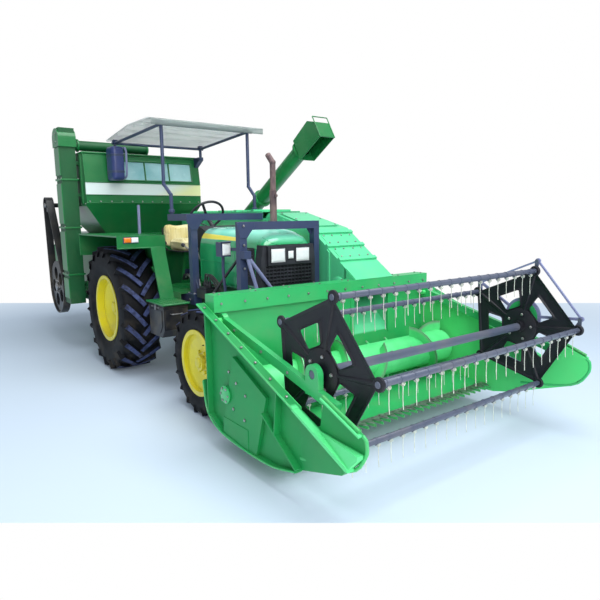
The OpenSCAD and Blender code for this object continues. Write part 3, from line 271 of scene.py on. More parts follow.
def piece(name, body, material, parts, replaces=(), sharp=0.6, bevel=0.0):
    """One object from parts, each an array of points from the rear axle and its arrays of faces."""
    points, faces, count = [], [], 0
    for spots, sets in parts:
        spots = np.reshape(spots, (-1, 3))
        points.append(spots)
        faces += [row for one in sets for row in (np.asarray(one) + count).tolist()]
        count += len(spots)
    mesh = bpy.data.meshes.new(name)
    mesh.from_pydata((np.concatenate(points) + AXLE).tolist(), [], faces)
    shell = bmesh.new()
    shell.from_mesh(mesh)
    bmesh.ops.recalc_face_normals(shell, faces=shell.faces)
    shell.to_mesh(mesh)
    shell.free()
    mesh.polygons.foreach_set("use_smooth", np.ones(len(mesh.polygons), bool))
    mesh.set_sharp_from_angle(angle=sharp)
    mesh.materials.append(material)
    made = bpy.data.objects.new(name, mesh)
    bpy.context.scene.collection.objects.link(made)
    if bevel:
        edge = made.modifiers.new("edge", "BEVEL")
        edge.width, edge.segments, edge.limit_method = bevel, 2, "ANGLE"
    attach(made, body)
    if replaces:
        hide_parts(*replaces)
    return made


def copies(part, places):
    """The same part's points and faces once for each row of places, a place being all of its points."""
    spots, faces = part
    step = np.arange(len(places))[:, None, None] * (spots.size // 3)
    return places, [(np.asarray(f)[None] + step).reshape(-1, np.shape(f)[1]) for f in faces]


def square(axis):
    """The axis as a unit vector, and two unit vectors square to it and to each other."""
    along = np.array(axis, float) / np.linalg.norm(axis)
    first = np.cross(along, (0.31, 0.52, 0.79))
    first /= np.linalg.norm(first)
    return along, first, np.cross(along, first)


def bolts(spots, axis, across=0.024, high=0.011):
    """Hexagon heads, one at each spot: a chamfered six-sided profile that stands along the axis."""
    along, first, second = square(axis)
    angle = np.arange(6) * np.pi / 3
    ring = np.cos(angle)[:, None] * first + np.sin(angle)[:, None] * second
    wide, tall = np.array([0.55, 0.55, 0.42]) * across, np.array([-0.2, 0.8, 1.0]) * high
    head = (wide[:, None, None] * ring + tall[:, None, None] * along).reshape(-1, 3)
    spots = np.reshape(spots, (-1, 3)).astype(float)
    return copies((head, [quads(3, 6, wrap_cols=True), np.arange(12, 18)[None]]), spots[:, None] + head)


def line(start, end, count):
    """Evenly spaced points from start to end."""
    return np.linspace(start, end, count)


FLANGE_X, FLANGE_Y, FLANGE_LOW, FLANGE_HIGH = (1.06, 0.42, -0.29), 0.20045, 0.60, 0.84
SUMP_Y, SUMP_Z, SUMP_REAR, SUMP_FRONT = 0.23, 0.74, 1.2, 1.85
cast_green = paint("cast_green_enamel", srgb(28, 92, 52), dust=0.9, gloss=0.5, fade=0.4)
dress(cast_green, "gearbox_housing", "engine_block", "front_support", "front_axle",
      "knuckle_left", "knuckle_right")
steel, steel_shader, _, steel_drift = mottled(
    "zinc_steel", srgb(120, 118, 116), srgb(182, 182, 184), (40.0, 4.0), (0.3, 0.75), Metallic=1.0)
(0.3 + 0.25 * steel_drift).to(steel_shader.inputs["Roughness"])
screws = [bolts(line((x, s * FLANGE_Y, FLANGE_LOW), (x, s * FLANGE_Y, FLANGE_HIGH), 4), (0, s, 0), 0.026)
          for x in FLANGE_X for s in (-1, 1)]
screws += [bolts(line((SUMP_REAR, y, SUMP_Z), (SUMP_FRONT, y, SUMP_Z), 6), (0, y, 0), 0.022)
           for y in (-SUMP_Y, SUMP_Y)]
piece("backbone_bolts", "machine", steel, screws)


# Wheels: pressed steel rims with dished discs, sprayed yellow, on cast hubs with a ring of studs;
# cross-ply farm tyres with bar lugs that meet in a chevron, their tops painted bluish grey: partly ground
# scuffing, partly a painted sky sheen.
WHEELBASE = 2.030
REAR = {"y": 0.780, "radius": 0.715, "half": 0.215, "bead": 0.3555, "seat": 0.178, "lug": 0.038,
        "lugs": 20, "sweep": 0.34, "thick": 0.050, "studs": 8, "stud_r": 0.128, "face": 0.026,
        "hub_r": 0.062, "hub_tip": 0.118}
FRONT = {"y": 0.745, "radius": 0.475, "half": 0.105, "bead": 0.2725, "seat": 0.085, "lug": 0.020,
         "lugs": 18, "sweep": 0.26, "thick": 0.030, "studs": 6, "stud_r": 0.098, "face": 0.036,
         "hub_r": 0.046, "hub_tip": 0.094}
VALVE_STEM = [(0.008, 0.0), (0.008, 0.03), (0.005, 0.034), (0.005, 0.05)]


def eased(points, steps):
    """Smooth line through the points: Catmull-Rom cubic between each two, with mirrored ends."""
    p = np.asarray(points, float)
    p = np.vstack([2 * p[0] - p[1], p, 2 * p[-1] - p[-2]])
    t = np.linspace(0, 1, steps, endpoint=False)[None, :, None]
    a, b, c, d = (p[i:len(p) - 3 + i, None] for i in range(4))
    square_part, cube_part = 2 * a - 5 * b + 4 * c - d, 3 * b - a - 3 * c + d
    curve = 0.5 * (2 * b + (c - a) * t + square_part * t ** 2 + cube_part * t ** 3)
    return np.vstack([curve.reshape(-1, p.shape[1]), p[-2]])


def turned(profile, centre, axis=(0, 1, 0), sides=48, ring=False):
    """Profile of radius and reach, turned once round an axis; a ring's profile is a closed loop."""
    profile = np.asarray(profile, float)
    along, first, second = square(axis)
    angle = np.linspace(0, 2 * np.pi, sides, endpoint=False)[None, :, None]
    round_it = np.cos(angle) * first + np.sin(angle) * second
    spots = profile[:, :1, None] * round_it + profile[:, 1:, None] * along
    faces = [quads(len(profile), sides, ring, True)]
    if not ring:
        faces += [np.arange(sides)[None], (len(profile) - 1) * sides + np.arange(sides)[None, ::-1]]
    return spots + np.asarray(centre, float), faces


def carried(path, section, up=(0.0, 0.0, 1.0)):
    """Section of across and above, one for all or one a step, carried along a path square to it; both
    ends are closed."""
    path, section = np.asarray(path, float), np.asarray(section, float)
    section = np.broadcast_to(section, (len(path), *section.shape[-2:]))
    along = np.gradient(path, axis=0)
    along /= np.linalg.norm(along, axis=1, keepdims=True)
    across = np.cross(np.broadcast_to(up, path.shape), along)
    across /= np.linalg.norm(across, axis=1, keepdims=True)
    above = np.cross(along, across)
    spots = path[:, None] + section[..., :1] * across[:, None] + section[..., 1:] * above[:, None]
    rows, cols = spots.shape[:2]
    return spots, [quads(rows, cols, wrap_cols=True), np.arange(cols)[None, ::-1],
                   (rows - 1) * cols + np.arange(cols)[None]]


def repeated(part, turns, centre):
    """Copies of a part, turned about the Y axis through the centre by each of these angles."""
    spots = np.reshape(part[0], (-1, 3)) - centre
    c, s = np.cos(turns)[:, None], np.sin(turns)[:, None]
    x, y, z = spots.T
    spun = np.stack([x * c + z * s, np.broadcast_to(y, (len(turns), len(y))), z * c - x * s], -1) + centre
    return copies((spots, part[1]), spun)


def round_spots(centre, radius, count):
    """Points evenly round a circle that faces sideways."""
    angle = np.linspace(0, 2 * np.pi, count, endpoint=False)
    return np.asarray(centre) + radius * np.stack([np.cos(angle), 0 * angle, np.sin(angle)], 1)


def tyre(wheel, centre):
    """Carcass turned from a bellied profile, and bar lugs carried from the tread's middle to the shoulder."""
    bead, half, seat = wheel["bead"], wheel["half"], wheel["seat"]
    tread = wheel["radius"] - wheel["lug"]
    tall = tread - bead
    wall = eased([(bead + 0.002, seat - 0.01), (bead + 0.05 * tall, seat + 0.004),
                  (bead + 0.16 * tall, seat + 0.002), (bead + 0.40 * tall, half - 0.003),
                  (bead + 0.64 * tall, half), (bead + 0.84 * tall, half - 0.006),
                  (bead + 0.95 * tall, half * 0.90), (tread - 0.002, half * 0.6), (tread + 0.001, 0.0)], 4)
    wall[:, 0] += 0.0035 * np.exp(-((wall[:, 0] - bead - 0.30 * tall) / 0.006) ** 2)
    loop = np.vstack([wall, (wall * [1, -1])[-2::-1]])
    parts = [turned(loop, centre, sides=96, ring=True)]
    crown_side = wall[np.argmax(wall[:, 1]):][::-1]
    t = np.array([-0.06, -0.04, 0.1, 0.25, 0.4, 0.55, 0.7, 0.82, 0.93, 0.985])
    carcass = np.interp(t * half, crown_side[:, 1], crown_side[:, 0])
    top = wheel["radius"] - 0.25 * wheel["lug"] * t ** 2
    top[[0, -1]] = tread + 0.004, carcass[-1] + 0.006
    wide = wheel["thick"] / 2 * np.array([0.75, 0.95, 1.0, 1.0, 1.0, 1.0, 1.05, 1.1, 1.15, 1.2])
    foot, crest = carcass - tread - 0.012, top - tread
    profile = np.stack([np.stack([-1.3 * wide, foot], 1), np.stack([1.3 * wide, foot], 1),
                        np.stack([0.9 * wide, crest], 1), np.stack([-0.9 * wide, crest], 1)], 1)
    lean = -wheel["sweep"] * (1.2 * t - 0.2 * t ** 2)
    up = np.stack([np.cos(lean), 0 * lean, -np.sin(lean)], 1)
    for hand, shift in ((1, 0.0), (-1, 0.5)):
        path = np.stack([tread * up[:, 0], hand * t * half, tread * up[:, 2]], 1)
        spots, faces = carried(path, profile, up)
        turns = (np.arange(wheel["lugs"]) + shift) * 2 * np.pi / wheel["lugs"]
        parts.append(repeated((spots + centre, faces), turns, np.asarray(centre)))
    return parts


def rubber(name, axle_x, radius):
    """Black rubber: mud film low down, and lug tops painted bluish grey, found by their radius from the axle:
    partly scuffing, partly a painted sky sheen.
    """
    material, shader, place = finish(name, Specular_IOR_Level=0.18)
    x, z = place.axis("X") - (axle_x + AXLE[0]), place.axis("Z") - (radius + AXLE[2])
    lug_top = ((x * x + z * z) ** 0.5).ramp(radius - 0.012, radius - 0.004)
    scuff_and_sheen = lug_top * place.noise(24.0, 4.0).ramp(0.2, 0.6)
    mud = (place.noise(7.0, 6.0).ramp(0.5, 0.78) * (1 - place.axis("Z").ramp(0.05, 1.3)) * 0.5).clip()
    # Lug tops: grey scuffing mixed with a bluish painted sky sheen.
    mud.blend(scuff_and_sheen.blend(srgb(8, 9, 14), srgb(66, 76, 116)), srgb(98, 90, 80)).to(shader.inputs["Base Color"])
    (0.6 + 0.3 * mud + 0.1 * place.noise(30.0)).to(shader.inputs["Roughness"])
    place.noise(160.0, 3.0).bump(0.25, 0.001).to(shader.inputs["Normal"])
    return material


rim_yellow = paint("rim_yellow_enamel", srgb(222, 208, 44), dust=0.5, gloss=0.32, coat=0.08)
dress(rim_yellow, "rear_rim_left", "rear_rim_right", "front_rim_left", "front_rim_right")
for end, wheel, x in (("rear", REAR, 0.0), ("front", FRONT, WHEELBASE)):
    high, hub_r, tip = wheel["radius"], wheel["hub_r"], wheel["hub_tip"]
    cap = [(hub_r, 0.07), (hub_r, tip - 0.014), (hub_r * 0.86, tip - 0.004), (hub_r * 0.5, tip), (0.004, tip)]
    valve_r = wheel["bead"] * 0.86
    tread_rubber = rubber(f"{end}_tyre_rubber", x, high)
    for name, s in (("left", 1), ("right", -1)):
        hub = np.array((x, s * wheel["y"], high))
        body = f"wheel_{end}_{name}"
        piece(f"{end}_tyre_{name}_moulded", body, tread_rubber, tyre(wheel, hub),
              replaces=[f"{end}_tyre_{name}"], sharp=0.7)
        studs = round_spots(hub + (0, s * wheel["face"], 0), wheel["stud_r"], wheel["studs"])
        piece(f"{end}_hub_{name}", body, rim_yellow,
              [turned(cap, hub, (0, s, 0), 32), bolts(studs, (0, s, 0), 0.03, 0.018)])
        seat = hub + (valve_r * 0.6, s * (wheel["seat"] * 0.55 + 0.004), valve_r * 0.8)
        piece(f"{end}_valve_{name}", body, tread_rubber,
              [turned(VALVE_STEM, seat, (0, s, 0), 10)])


# Carrying frame: welded rails and portals of square tube in navy enamel, bolted round the tractor; a
# hydraulic valve with three oil pipes stands on the right rail, and two round guard bars slope down and
# inwards from the right front post.
def block(low, high):
    """Rectangular bar between two corners: the eight mixes of low and high, and six faces."""
    x, y, z = np.meshgrid(*np.transpose([low, high]), indexing="ij")
    faces = [(0, 1, 3, 2), (4, 6, 7, 5), (0, 4, 5, 1), (2, 3, 7, 6), (0, 2, 6, 4), (1, 5, 7, 3)]
    return np.stack([x, y, z], -1).reshape(-1, 3), [np.array(faces)]


def plate(outline, low, high, axis=1):
    """Flat outline in the two other axes, drawn out along one axis from low to high."""
    outline = np.asarray(outline, float)
    rows = [np.insert(outline, axis, reach, axis=1) for reach in (low, high)]
    ends = np.arange(len(outline))[None]
    return np.stack(rows), [quads(2, len(outline), wrap_cols=True), ends[:, ::-1], len(outline) + ends]


def pipe(points, radius, sides=10, steps=0):
    """Round section carried along the points, eased first if steps are given; up is the path's own normal."""
    path = eased(points, steps) if steps else np.asarray(points, float)
    up = np.linalg.svd(path - path.mean(0))[2][2]
    angle = np.linspace(0, 2 * np.pi, sides, endpoint=False)
    return carried(path, radius * np.stack([np.cos(angle), np.sin(angle)], 1), up)


PORTAL, POST_BACK, POST_FRONT, POST_Y = (2.205, 2.215), (1.268, 1.277), (2.258, 2.266), -0.465
RAIL_Y, RAIL_MIDDLE, RAIL_TOP, FOOT_TOP = 0.482, 0.91, 0.958, 0.974
FOOT_X, FOOT_Y = 1.235, 0.44
VALVE_X, VALVE_Y = (1.45, 1.50, 1.55), -0.43
navy = paint("frame_navy_enamel", srgb(50, 62, 94), dust=0.3, gloss=0.34)
lavender = paint("bar_lavender_enamel", srgb(128, 134, 172), dust=0.25, gloss=0.36)
black_enamel = paint("black_enamel", srgb(24, 25, 31), dust=0.5, gloss=0.38)
dress(navy, "main_frame", "front_portal", "rear_portal", "canopy_posts", "hitch_bar")
gussets = [plate([(-0.430, 1.632), (-0.345, 1.632), (-0.430, 1.52)], *PORTAL, 0),
           plate([(0.312, 1.632), (0.312, 1.56), (0.255, 1.632)], *PORTAL, 0),
           plate([(-0.52, 1.775), (-0.33, 1.775), (-0.33, 1.735), (-0.404, 1.62), (-0.476, 1.62),
                  (-0.52, 1.70)], *POST_BACK, 0),
           plate([(-0.53, 1.695), (-0.35, 1.695), (-0.35, 1.66), (-0.43, 1.56), (-0.50, 1.56)],
                 *POST_FRONT, 0),
           plate([(1.272, 0.962), (1.36, 0.962), (1.272, 1.12)], -0.446, -0.436),
           plate([(2.188, 1.032), (2.10, 1.032), (2.188, 1.16)], -0.470, -0.460)]
piece("frame_gussets", "machine", navy, gussets, bevel=0.002)
piece("frame_feet", "machine", navy,
      [block((FOOT_X - 0.075, s * FOOT_Y - 0.05, RAIL_TOP), (FOOT_X + 0.075, s * FOOT_Y + 0.05, FOOT_TOP))
       for s in (-1, 1)], bevel=0.002)
foot_spots = [(FOOT_X + u, s * FOOT_Y + v, FOOT_TOP)
              for s in (-1, 1) for u in (-0.06, 0.06) for v in (-0.034, 0.034)]
rail_bolts = [bolts(line((-0.66, s * RAIL_Y, RAIL_MIDDLE), (1.20, s * RAIL_Y, RAIL_MIDDLE), 9), (0, s, 0))
              for s in (-1, 1)]
post_spots = [(POST_FRONT[1] + 0.001, POST_Y, z) for z in (1.10, 1.30, 1.50, 1.665)]
piece("frame_bolts", "machine", steel,
      [bolts(foot_spots, (0, 0, 1), 0.02), *rail_bolts, bolts(post_spots, (1, 0, 0), 0.02)])
strut = pipe([(2.20, -0.478, 1.392), (1.62, -0.470, 0.975)], 0.013, 12)
valve = [block((1.40, -0.50, RAIL_TOP), (1.60, -0.36, 1.045)),
         block((1.43, -0.485, 1.045), (1.57, -0.375, 1.068))]
union = [(0.018, 0.0), (0.018, 0.03), (0.012, 0.034), (0.012, 0.05)]
valve += [turned(union, (x, VALVE_Y, 1.066), (0, 0, 1), 16) for x in VALVE_X]
valve += [pipe([(x, VALVE_Y, 1.112), (x, VALVE_Y, 1.15), (x + 0.05, -0.44, 1.19), (x + 0.22, -0.45, 1.12),
                (x + 0.34, -0.45, 0.965)], 0.008, 8, 6) for x in VALVE_X]
piece("control_valve", "machine", black_enamel, valve + [strut])
piece("guard_bars", "machine", lavender,
      [pipe(line((2.305, -0.462, 1.415), (2.305, y, 1.0), 12), 0.0165, 14) for y in (-0.124, -0.332)])


# Hood: one pressed steel skin with a rounded crown that drops into a visor over the lamps, in gloss
# green, with a pale yellow stripe along each side, a louvred panel and quarter-turn catches.
HOOD_HALF, HOOD_SHOULDER, HOOD_LOW, BROW, ARCH = 0.300, 1.300, 1.070, 1.490, 0.6
RIDGE_LINE = [(1.10, 1.640), (1.60, 1.641), (1.95, 1.638), (2.10, 1.621), (2.18, 1.594)]
VISOR_LINE = [(2.18, 1.594), (2.21, 1.578), (2.24, 1.548), (2.262, 1.510), (2.268, 1.4925)]
STRIPE_END, TAIL_START = 1.925, 1.858
LOUVRE_BACK, LOUVRE_FRONT, LOUVRE_LOW, LOUVRE_TOP, LOUVRE_STEP = 2.015, 2.172, 1.125, 1.465, 0.024
STACK_X, STACK_Y = 1.88, 0.11


def ahead(place):
    """Reach of a material's coordinates ahead of the rear axle."""
    return place.axis("X") - float(AXLE[0])


def stripe(place):
    """Band between two sloping lines over part of the hood's length, and a short tail below its front end."""
    x, z = ahead(place), place.axis("Z")
    low, high = 1.536 - 0.0109 * x, 1.626 - 0.0411 * x
    before_end = (STRIPE_END - x).ramp(0.0, 0.004)
    band = (z - low).ramp(0.0, 0.003) * (high - z).ramp(0.0, 0.003) * before_end
    fall = z - 1.474 - 0.75 * (x - 1.862)
    tail = fall.ramp(-0.014, -0.011) * (1 - fall.ramp(0.013, 0.016)) * (x - TAIL_START).ramp(0.0, 0.004)
    return (band + tail * before_end * (low - z).ramp(-0.004, 0.0)).clip()


def painted_sky_sheen(place):
    """Top of the hood, painted paler towards mint: a painted reflection of the sky on the gloss enamel."""
    return place.axis("Z").ramp(1.505, 1.60) * 0.9


def squared(value, power):
    """The value's size to a power, with its sign kept: a power below 1 squares a circle's corners."""
    return np.sign(value) * np.abs(value) ** power


def crown(x, top, start):
    """Hood section from one side to the other: a squared arch over the shoulder, above its start angle."""
    angle = np.linspace(start, np.pi - start, 41)
    return np.stack([x + 0 * angle, HOOD_HALF * squared(np.cos(angle), ARCH),
                     HOOD_SHOULDER + (top - HOOD_SHOULDER) * np.sin(angle) ** ARCH], 1)


def brow_angle(top):
    """Start angle at which a section of this top meets the brow's height."""
    return np.arcsin(((BROW - HOOD_SHOULDER) / (top - HOOD_SHOULDER)) ** (1 / ARCH))


# The mint on the hood's top is a painted sky reflection; the yellow stripe is real paint.
hood_green = paint("hood_green_enamel", srgb(36, 158, 98), dust=0.15, gloss=0.12, fade=0.08, chips=0.2,
                   coat=0.9, marks=[(painted_sky_sheen, srgb(150, 240, 216)), (stripe, srgb(240, 226, 92))])
leg = np.linspace(HOOD_LOW, HOOD_SHOULDER, 6, endpoint=False)
skin = []
for x, top in eased(RIDGE_LINE, 9):
    near = np.stack([x + 0 * leg, HOOD_HALF + 0 * leg, leg], 1)
    skin.append(np.vstack([near, crown(x, top, 0.0), (near * [1, -1, 1])[::-1]]))
skin = np.stack(skin)
visor = np.stack([crown(x, top, brow_angle(top)) for x, top in eased(VISOR_LINE, 6)])
hood = piece("hood_skin", "machine", hood_green,
             [(skin, [quads(*skin.shape[:2]), np.arange(skin.shape[1])[None]]),
              (visor, [quads(*visor.shape[:2])])], replaces=["hood"], sharp=0.9)
wall = hood.modifiers.new("sheet", "SOLIDIFY")
wall.thickness, wall.offset = 0.006, -1.0

dark_plastic, plastic_shader, plastic_place, plastic_drift = mottled(
    "dark_plastic", srgb(27, 28, 34), srgb(44, 46, 54), (9.0, 4.0), Specular_IOR_Level=0.45)
(0.42 + 0.2 * plastic_drift).to(plastic_shader.inputs["Roughness"])
plastic_place.noise(420.0, 1.0).bump(0.12, 0.0006).to(plastic_shader.inputs["Normal"])
louvres, seams = [], []
for s in (-1, 1):
    out = s * (HOOD_HALF + 0.001)
    inner, outer = out + s * 0.002, out + s * 0.013
    louvres.append(plate([(LOUVRE_BACK, LOUVRE_LOW), (LOUVRE_FRONT, LOUVRE_LOW), (LOUVRE_FRONT, LOUVRE_TOP),
                          (LOUVRE_BACK, LOUVRE_TOP)], out, out + s * 0.004))
    louvres += [plate([(inner, z), (outer, z + 0.006), (outer, z + 0.010), (inner, z + 0.016)],
                      2.03, 2.158, 0) for z in np.arange(1.150, 1.45, LOUVRE_STEP)]
    seams.append(pipe([(1.125, out, 1.10), (1.125, out, 1.30), (1.98, out, 1.30), (1.98, out, 1.10)],
                      0.003, 6))
piece("hood_louvres", "machine", dark_plastic, louvres)
piece("hood_trim", "machine", hood_green,
      seams + [pipe(visor[:, column], 0.004, 6) for column in (8, 32)]
      + [pipe(skin[14] + (0, 0, 0.001), 0.004, 6)])
catch = [(0.016, 0.0), (0.016, 0.006), (0.012, 0.010), (0.004, 0.011)]
stack_collar = [(0.052, 0.0), (0.052, 0.008), (0.040, 0.018), (0.036, 0.03)]
piece("hood_catches", "machine", steel,
      [turned(catch, (x, s * HOOD_HALF, 1.14), (0, s, 0), 16) for x in (1.22, 1.90) for s in (-1, 1)]
      + [turned(stack_collar, (STACK_X, STACK_Y, 1.612), (0, 0, 1), 24)])


# Grille and lamps: a moulded dark front with cross slots and a deep lamp bezel; pressed-glass lenses
# with upright flutes, a work lamp on the guard post and a two-colour lamp on the right fender.
LENS_BACK, BEZEL_X = 2.300, 2.311
BEZELS = [(-0.218, 1.333, -0.055, 1.465), (0.055, 1.333, 0.218, 1.465), (-0.034, 1.361, 0.034, 1.439)]
FENDER_LAMP_X, FENDER_LAMP_Z = (0.757, 0.785), (1.492, 1.543)


def lens(low, high, bulge, count=21):
    """Glass over a rectangle that faces forward: it bulges by one minus the sixth powers of both reaches."""
    u, v = np.meshgrid(np.linspace(-1, 1, count), np.linspace(-1, 1, count), indexing="ij")
    middle, half = np.add(low, high) / 2, np.subtract(high, low) / 2
    rise = (1 - np.abs(u) ** 6) * (1 - np.abs(v) ** 6)
    face = np.stack([high[0] - bulge + bulge * rise, middle[1] + half[1] * u, middle[2] + half[2] * v], -1)
    back = face.copy()
    back[..., 0] = np.where((np.abs(u) == 1) | (np.abs(v) == 1), face[..., 0], low[0])
    grid = quads(count, count)
    return np.stack([face, back]), [grid, grid[:, ::-1] + count * count]


def glass(name, colour, flutes):
    """Moulded lens: fine upright flutes as bump, deeper colour between them and a clear coat."""
    material, shader, place = finish(name, Roughness=0.08, Coat_Weight=1.0, Coat_Roughness=0.03)
    wave = place.node("TexWave", {"bands_direction": "Y"},
                      {"Vector": place, "Scale": flutes, "Distortion": 0.0})
    deep = (*(c * 0.72 for c in colour[:3]), 1.0)
    (wave * 0.6 + 0.4 * place.noise(26.0)).blend(deep, colour).to(shader.inputs["Base Color"])
    wave.bump(0.5, 0.002).to(shader.inputs["Normal"])
    return material


def fender_lens(right, left):
    """One half of the fender lamp's lens, between two places across."""
    (back, face), (low, high) = FENDER_LAMP_X, FENDER_LAMP_Z
    return lens((back, right, low), (face, left, high), 0.012)


dress(dark_plastic, "grille_nose")
lenses = [lens((LENS_BACK, y, 1.337), (2.315, y + 0.155, 1.461), 0.010) for y in (-0.214, 0.059)]
lenses += [lens((LENS_BACK, -0.030, 1.365), (2.318, 0.030, 1.435), 0.008),
           lens((1.985, -0.521, 1.402), (1.998, -0.439, 1.508), 0.009), fender_lens(-0.905, -0.832)]
piece("lamp_lenses", "machine", glass("lamp_glass", srgb(240, 244, 246), 30.0), lenses,
      replaces=["lamps"], sharp=0.8)
piece("amber_lens", "machine", glass("amber_glass", srgb(240, 126, 20), 40.0),
      [fender_lens(-0.983, -0.909)])
bezels = []
for y0, z0, y1, z1 in BEZELS:
    loop = [(BEZEL_X, y, z) for y, z in ((y0, z0), (y1, z0), (y1, z1), (y0, z1), (y0, z0))]
    bezels += [block(np.minimum(a, b) - 0.004, np.maximum(a, b) + (0.003, 0.004, 0.004))
               for a, b in zip(loop, loop[1:])]
mesh_bars = [block((2.279, y - 0.003, 1.09), (2.286, y + 0.003, 1.305)) for y in np.linspace(-0.26, 0.26, 14)]
piece("lamp_bezels", "machine", dark_plastic, bezels + mesh_bars, bevel=0.001)
shade = [plate([(1.982, 1.523), (2.012, 1.519), (2.012, 1.523), (1.982, 1.528)], -0.534, -0.436),
         block((0.745, -0.99, 1.484), (0.762, -0.826, 1.549))]
stalk = pipe([(1.93, -0.485, 1.40), (1.93, -0.487, 1.25), (1.93, -0.47, 1.05), (1.93, -0.46, 0.95)],
             0.014, 12, 5)
piece("lamp_mounts", "machine", navy, shade + [stalk], bevel=0.001)


# Exhaust: an upright steel stack with a welded silencer, browned by heat; two strap clamps hold it,
# each drawn together by a bolt through its ears.
CLAMP_Z, WELD_Z = (1.62, 1.94), (1.575, 1.985)


def hoop(inner, outer, half):
    """Closed rectangular profile of a ring, from inner to outer radius and half its width to each side."""
    return [(inner, -half), (outer, -half), (outer, half), (inner, half)]


stack, stack_shader, stack_place, scale_drift = mottled(
    "heat_browned_steel", srgb(84, 70, 74), srgb(138, 116, 112), (22.0, 6.0, (1, 1, 0.35)), (0.32, 0.7),
    Specular_IOR_Level=0.4)
(0.25 + 0.3 * stack_place.noise(6.0)).to(stack_shader.inputs["Metallic"])
(0.55 + 0.25 * scale_drift).to(stack_shader.inputs["Roughness"])
scale_drift.bump(0.3, 0.0015).to(stack_shader.inputs["Normal"])
dress(stack, "exhaust_pipe")
weld = [(0.033, -0.004), (0.0365, -0.001), (0.0365, 0.002), (0.033, 0.005)]
clamps = [turned(hoop(0.0345, 0.0375, 0.014), (STACK_X, STACK_Y, z), (0, 0, 1), 32, ring=True)
          for z in CLAMP_Z]
clamps += [block((1.914, 0.098, z - 0.012), (1.936, 0.122, z + 0.012)) for z in CLAMP_Z]
clamps += [turned(weld, (STACK_X, STACK_Y, z), (0, 0, 1), 32, ring=True) for z in WELD_Z]
piece("exhaust_clamps", "machine", stack, clamps)
piece("exhaust_bolts", "machine", steel,
      [bolts([(1.927, 0.122, z) for z in CLAMP_Z], (0, 1, 0), 0.014, 0.008)])


# Driver's place: a steel floor with step and tool box, a pressed dash with round gauges, hand levers
# with ball knobs, foot pedals, and two flat-topped sheet fenders with rolled edges.
GAUGE_OUT, GAUGE_X, GAUGE_Y, GAUGE_Z = (-0.819, 0.0, 0.574), 0.915, 0.150, 1.602
FLOOR_TOP, STEP_Z, STEP_EDGE_Y, STEP_FRONT = 0.974, 0.897, -0.828, 1.328
FENDER_BACK, FENDER_FRONT, FENDER_INNER = -0.618, 0.755, 0.56
BOX_SIDE, BOX_FRONT = -0.822, 1.306
LEVERS = [((0.74, -0.07, 0.98), (0.69, -0.07, 1.18), (0.59, -0.10, 1.40)),
          ((0.74, 0.07, 0.98), (0.69, 0.07, 1.16), (0.60, 0.11, 1.36)),
          ((0.40, -0.42, 0.98), (0.40, -0.43, 1.20), (0.52, -0.44, 1.46)),
          ((0.33, -0.42, 0.98), (0.33, -0.43, 1.22), (0.42, -0.44, 1.50)),
          ((0.86, -0.245, 1.35), (0.78, -0.28, 1.40), (0.72, -0.31, 1.44))]


def edging(path, radius, sides, closed=False, count=3):
    """Straight rods from each point of a path to the next; a closed path also joins its ends."""
    after = path[1:] + path[:1] if closed else path[1:]
    return [pipe(line(a, b, count), radius, sides) for a, b in zip(path, after)]


body_green = paint("body_green_enamel", srgb(26, 120, 62), dust=0.45, gloss=0.27, fade=0.22)
dress(body_green, "fenders", "platform")
dress(black_enamel, "tool_box")
dress(dark_plastic, "dash_console", "steering_wheel")
bezel = [(0.041, -0.004), (0.041, 0.010), (0.037, 0.014), (0.033, 0.012), (0.032, 0.004), (0.0325, -0.004)]
face = [(0.0325, -0.004), (0.0325, 0.002), (0.02, 0.003), (0.003, 0.0032)]
gauges = [(GAUGE_X, s * GAUGE_Y, GAUGE_Z) for s in (-1, 1)]
pale_dial = mottled("gauge_dial", srgb(214, 212, 198), srgb(236, 234, 224), (60.0,),
                    Roughness=0.3, Coat_Weight=0.8)[0]
piece("gauge_bezels", "machine", steel,
      [turned(bezel, at, GAUGE_OUT, 32, ring=True) for at in gauges])
piece("gauge_dials", "machine", pale_dial, [turned(face, at, GAUGE_OUT, 32) for at in gauges])
knob = [(0.006, -0.02), (0.014, -0.018), (0.021, -0.008), (0.023, 0.004), (0.020, 0.016), (0.011, 0.024),
        (0.002, 0.026)]
boot = [(0.045, 0.0), (0.04, 0.012), (0.03, 0.02), (0.026, 0.034), (0.016, 0.05), (0.011, 0.06)]
rods = [pipe(lever, 0.009, 10, 8) for lever in LEVERS]
grips = [turned(knob, tip, np.subtract(tip, bend), 20) for _, bend, tip in LEVERS]
grips += [turned(boot, (0.74, y, FLOOR_TOP), (-0.2, 0, 1), 20) for y in (-0.07, 0.07)]
pad_rib = np.array([(0.875, 1.141), (0.869, 1.131), (0.873, 1.129), (0.879, 1.139)])
for y in (-0.36, -0.27, 0.30):
    rods.append(pipe([(1.02, y, 1.00), (0.98, y, 1.10), (0.90, y, 1.13), (0.86, y, 1.10)], 0.010, 10, 6))
    grips.append(plate([(0.875, 1.135), (0.835, 1.075), (0.842, 1.070), (0.882, 1.130)],
                       y - 0.036, y + 0.036))
    grips += [plate(pad_rib - (0.012 * k, 0.0178 * k), y - 0.034, y + 0.034) for k in range(4)]
piece("hand_levers", "machine", steel, rods)
piece("lever_knobs", "machine", dark_plastic, grips)
rolled = []
for y, low, top, front in ((-1.046, 1.30, 1.556, 1.434), (0.911, 1.38, 1.491, 1.438)):
    rolled += edging([(FENDER_BACK, y, low), (FENDER_BACK, y, top), (FENDER_FRONT, y, top),
                      (FENDER_FRONT, y, front), (FENDER_FRONT, np.sign(y) * FENDER_INNER, front)], 0.0075, 10)
creases = [block((x, -1.04, 1.559), (x + 0.03, -0.545, 1.564)) for x in (-0.42, -0.12, 0.18, 0.48)]
piece("fender_beads", "machine", body_green, rolled + creases)
stud = [(0.009, -0.001), (0.008, 0.003), (0.004, 0.0045)]
tread = [turned(stud, (x, y, STEP_Z + 0.008), (0, 0, 1), 8)
         for y in np.linspace(-0.81, -0.57, 6) for x in np.linspace(0.93, 1.30, 9)]
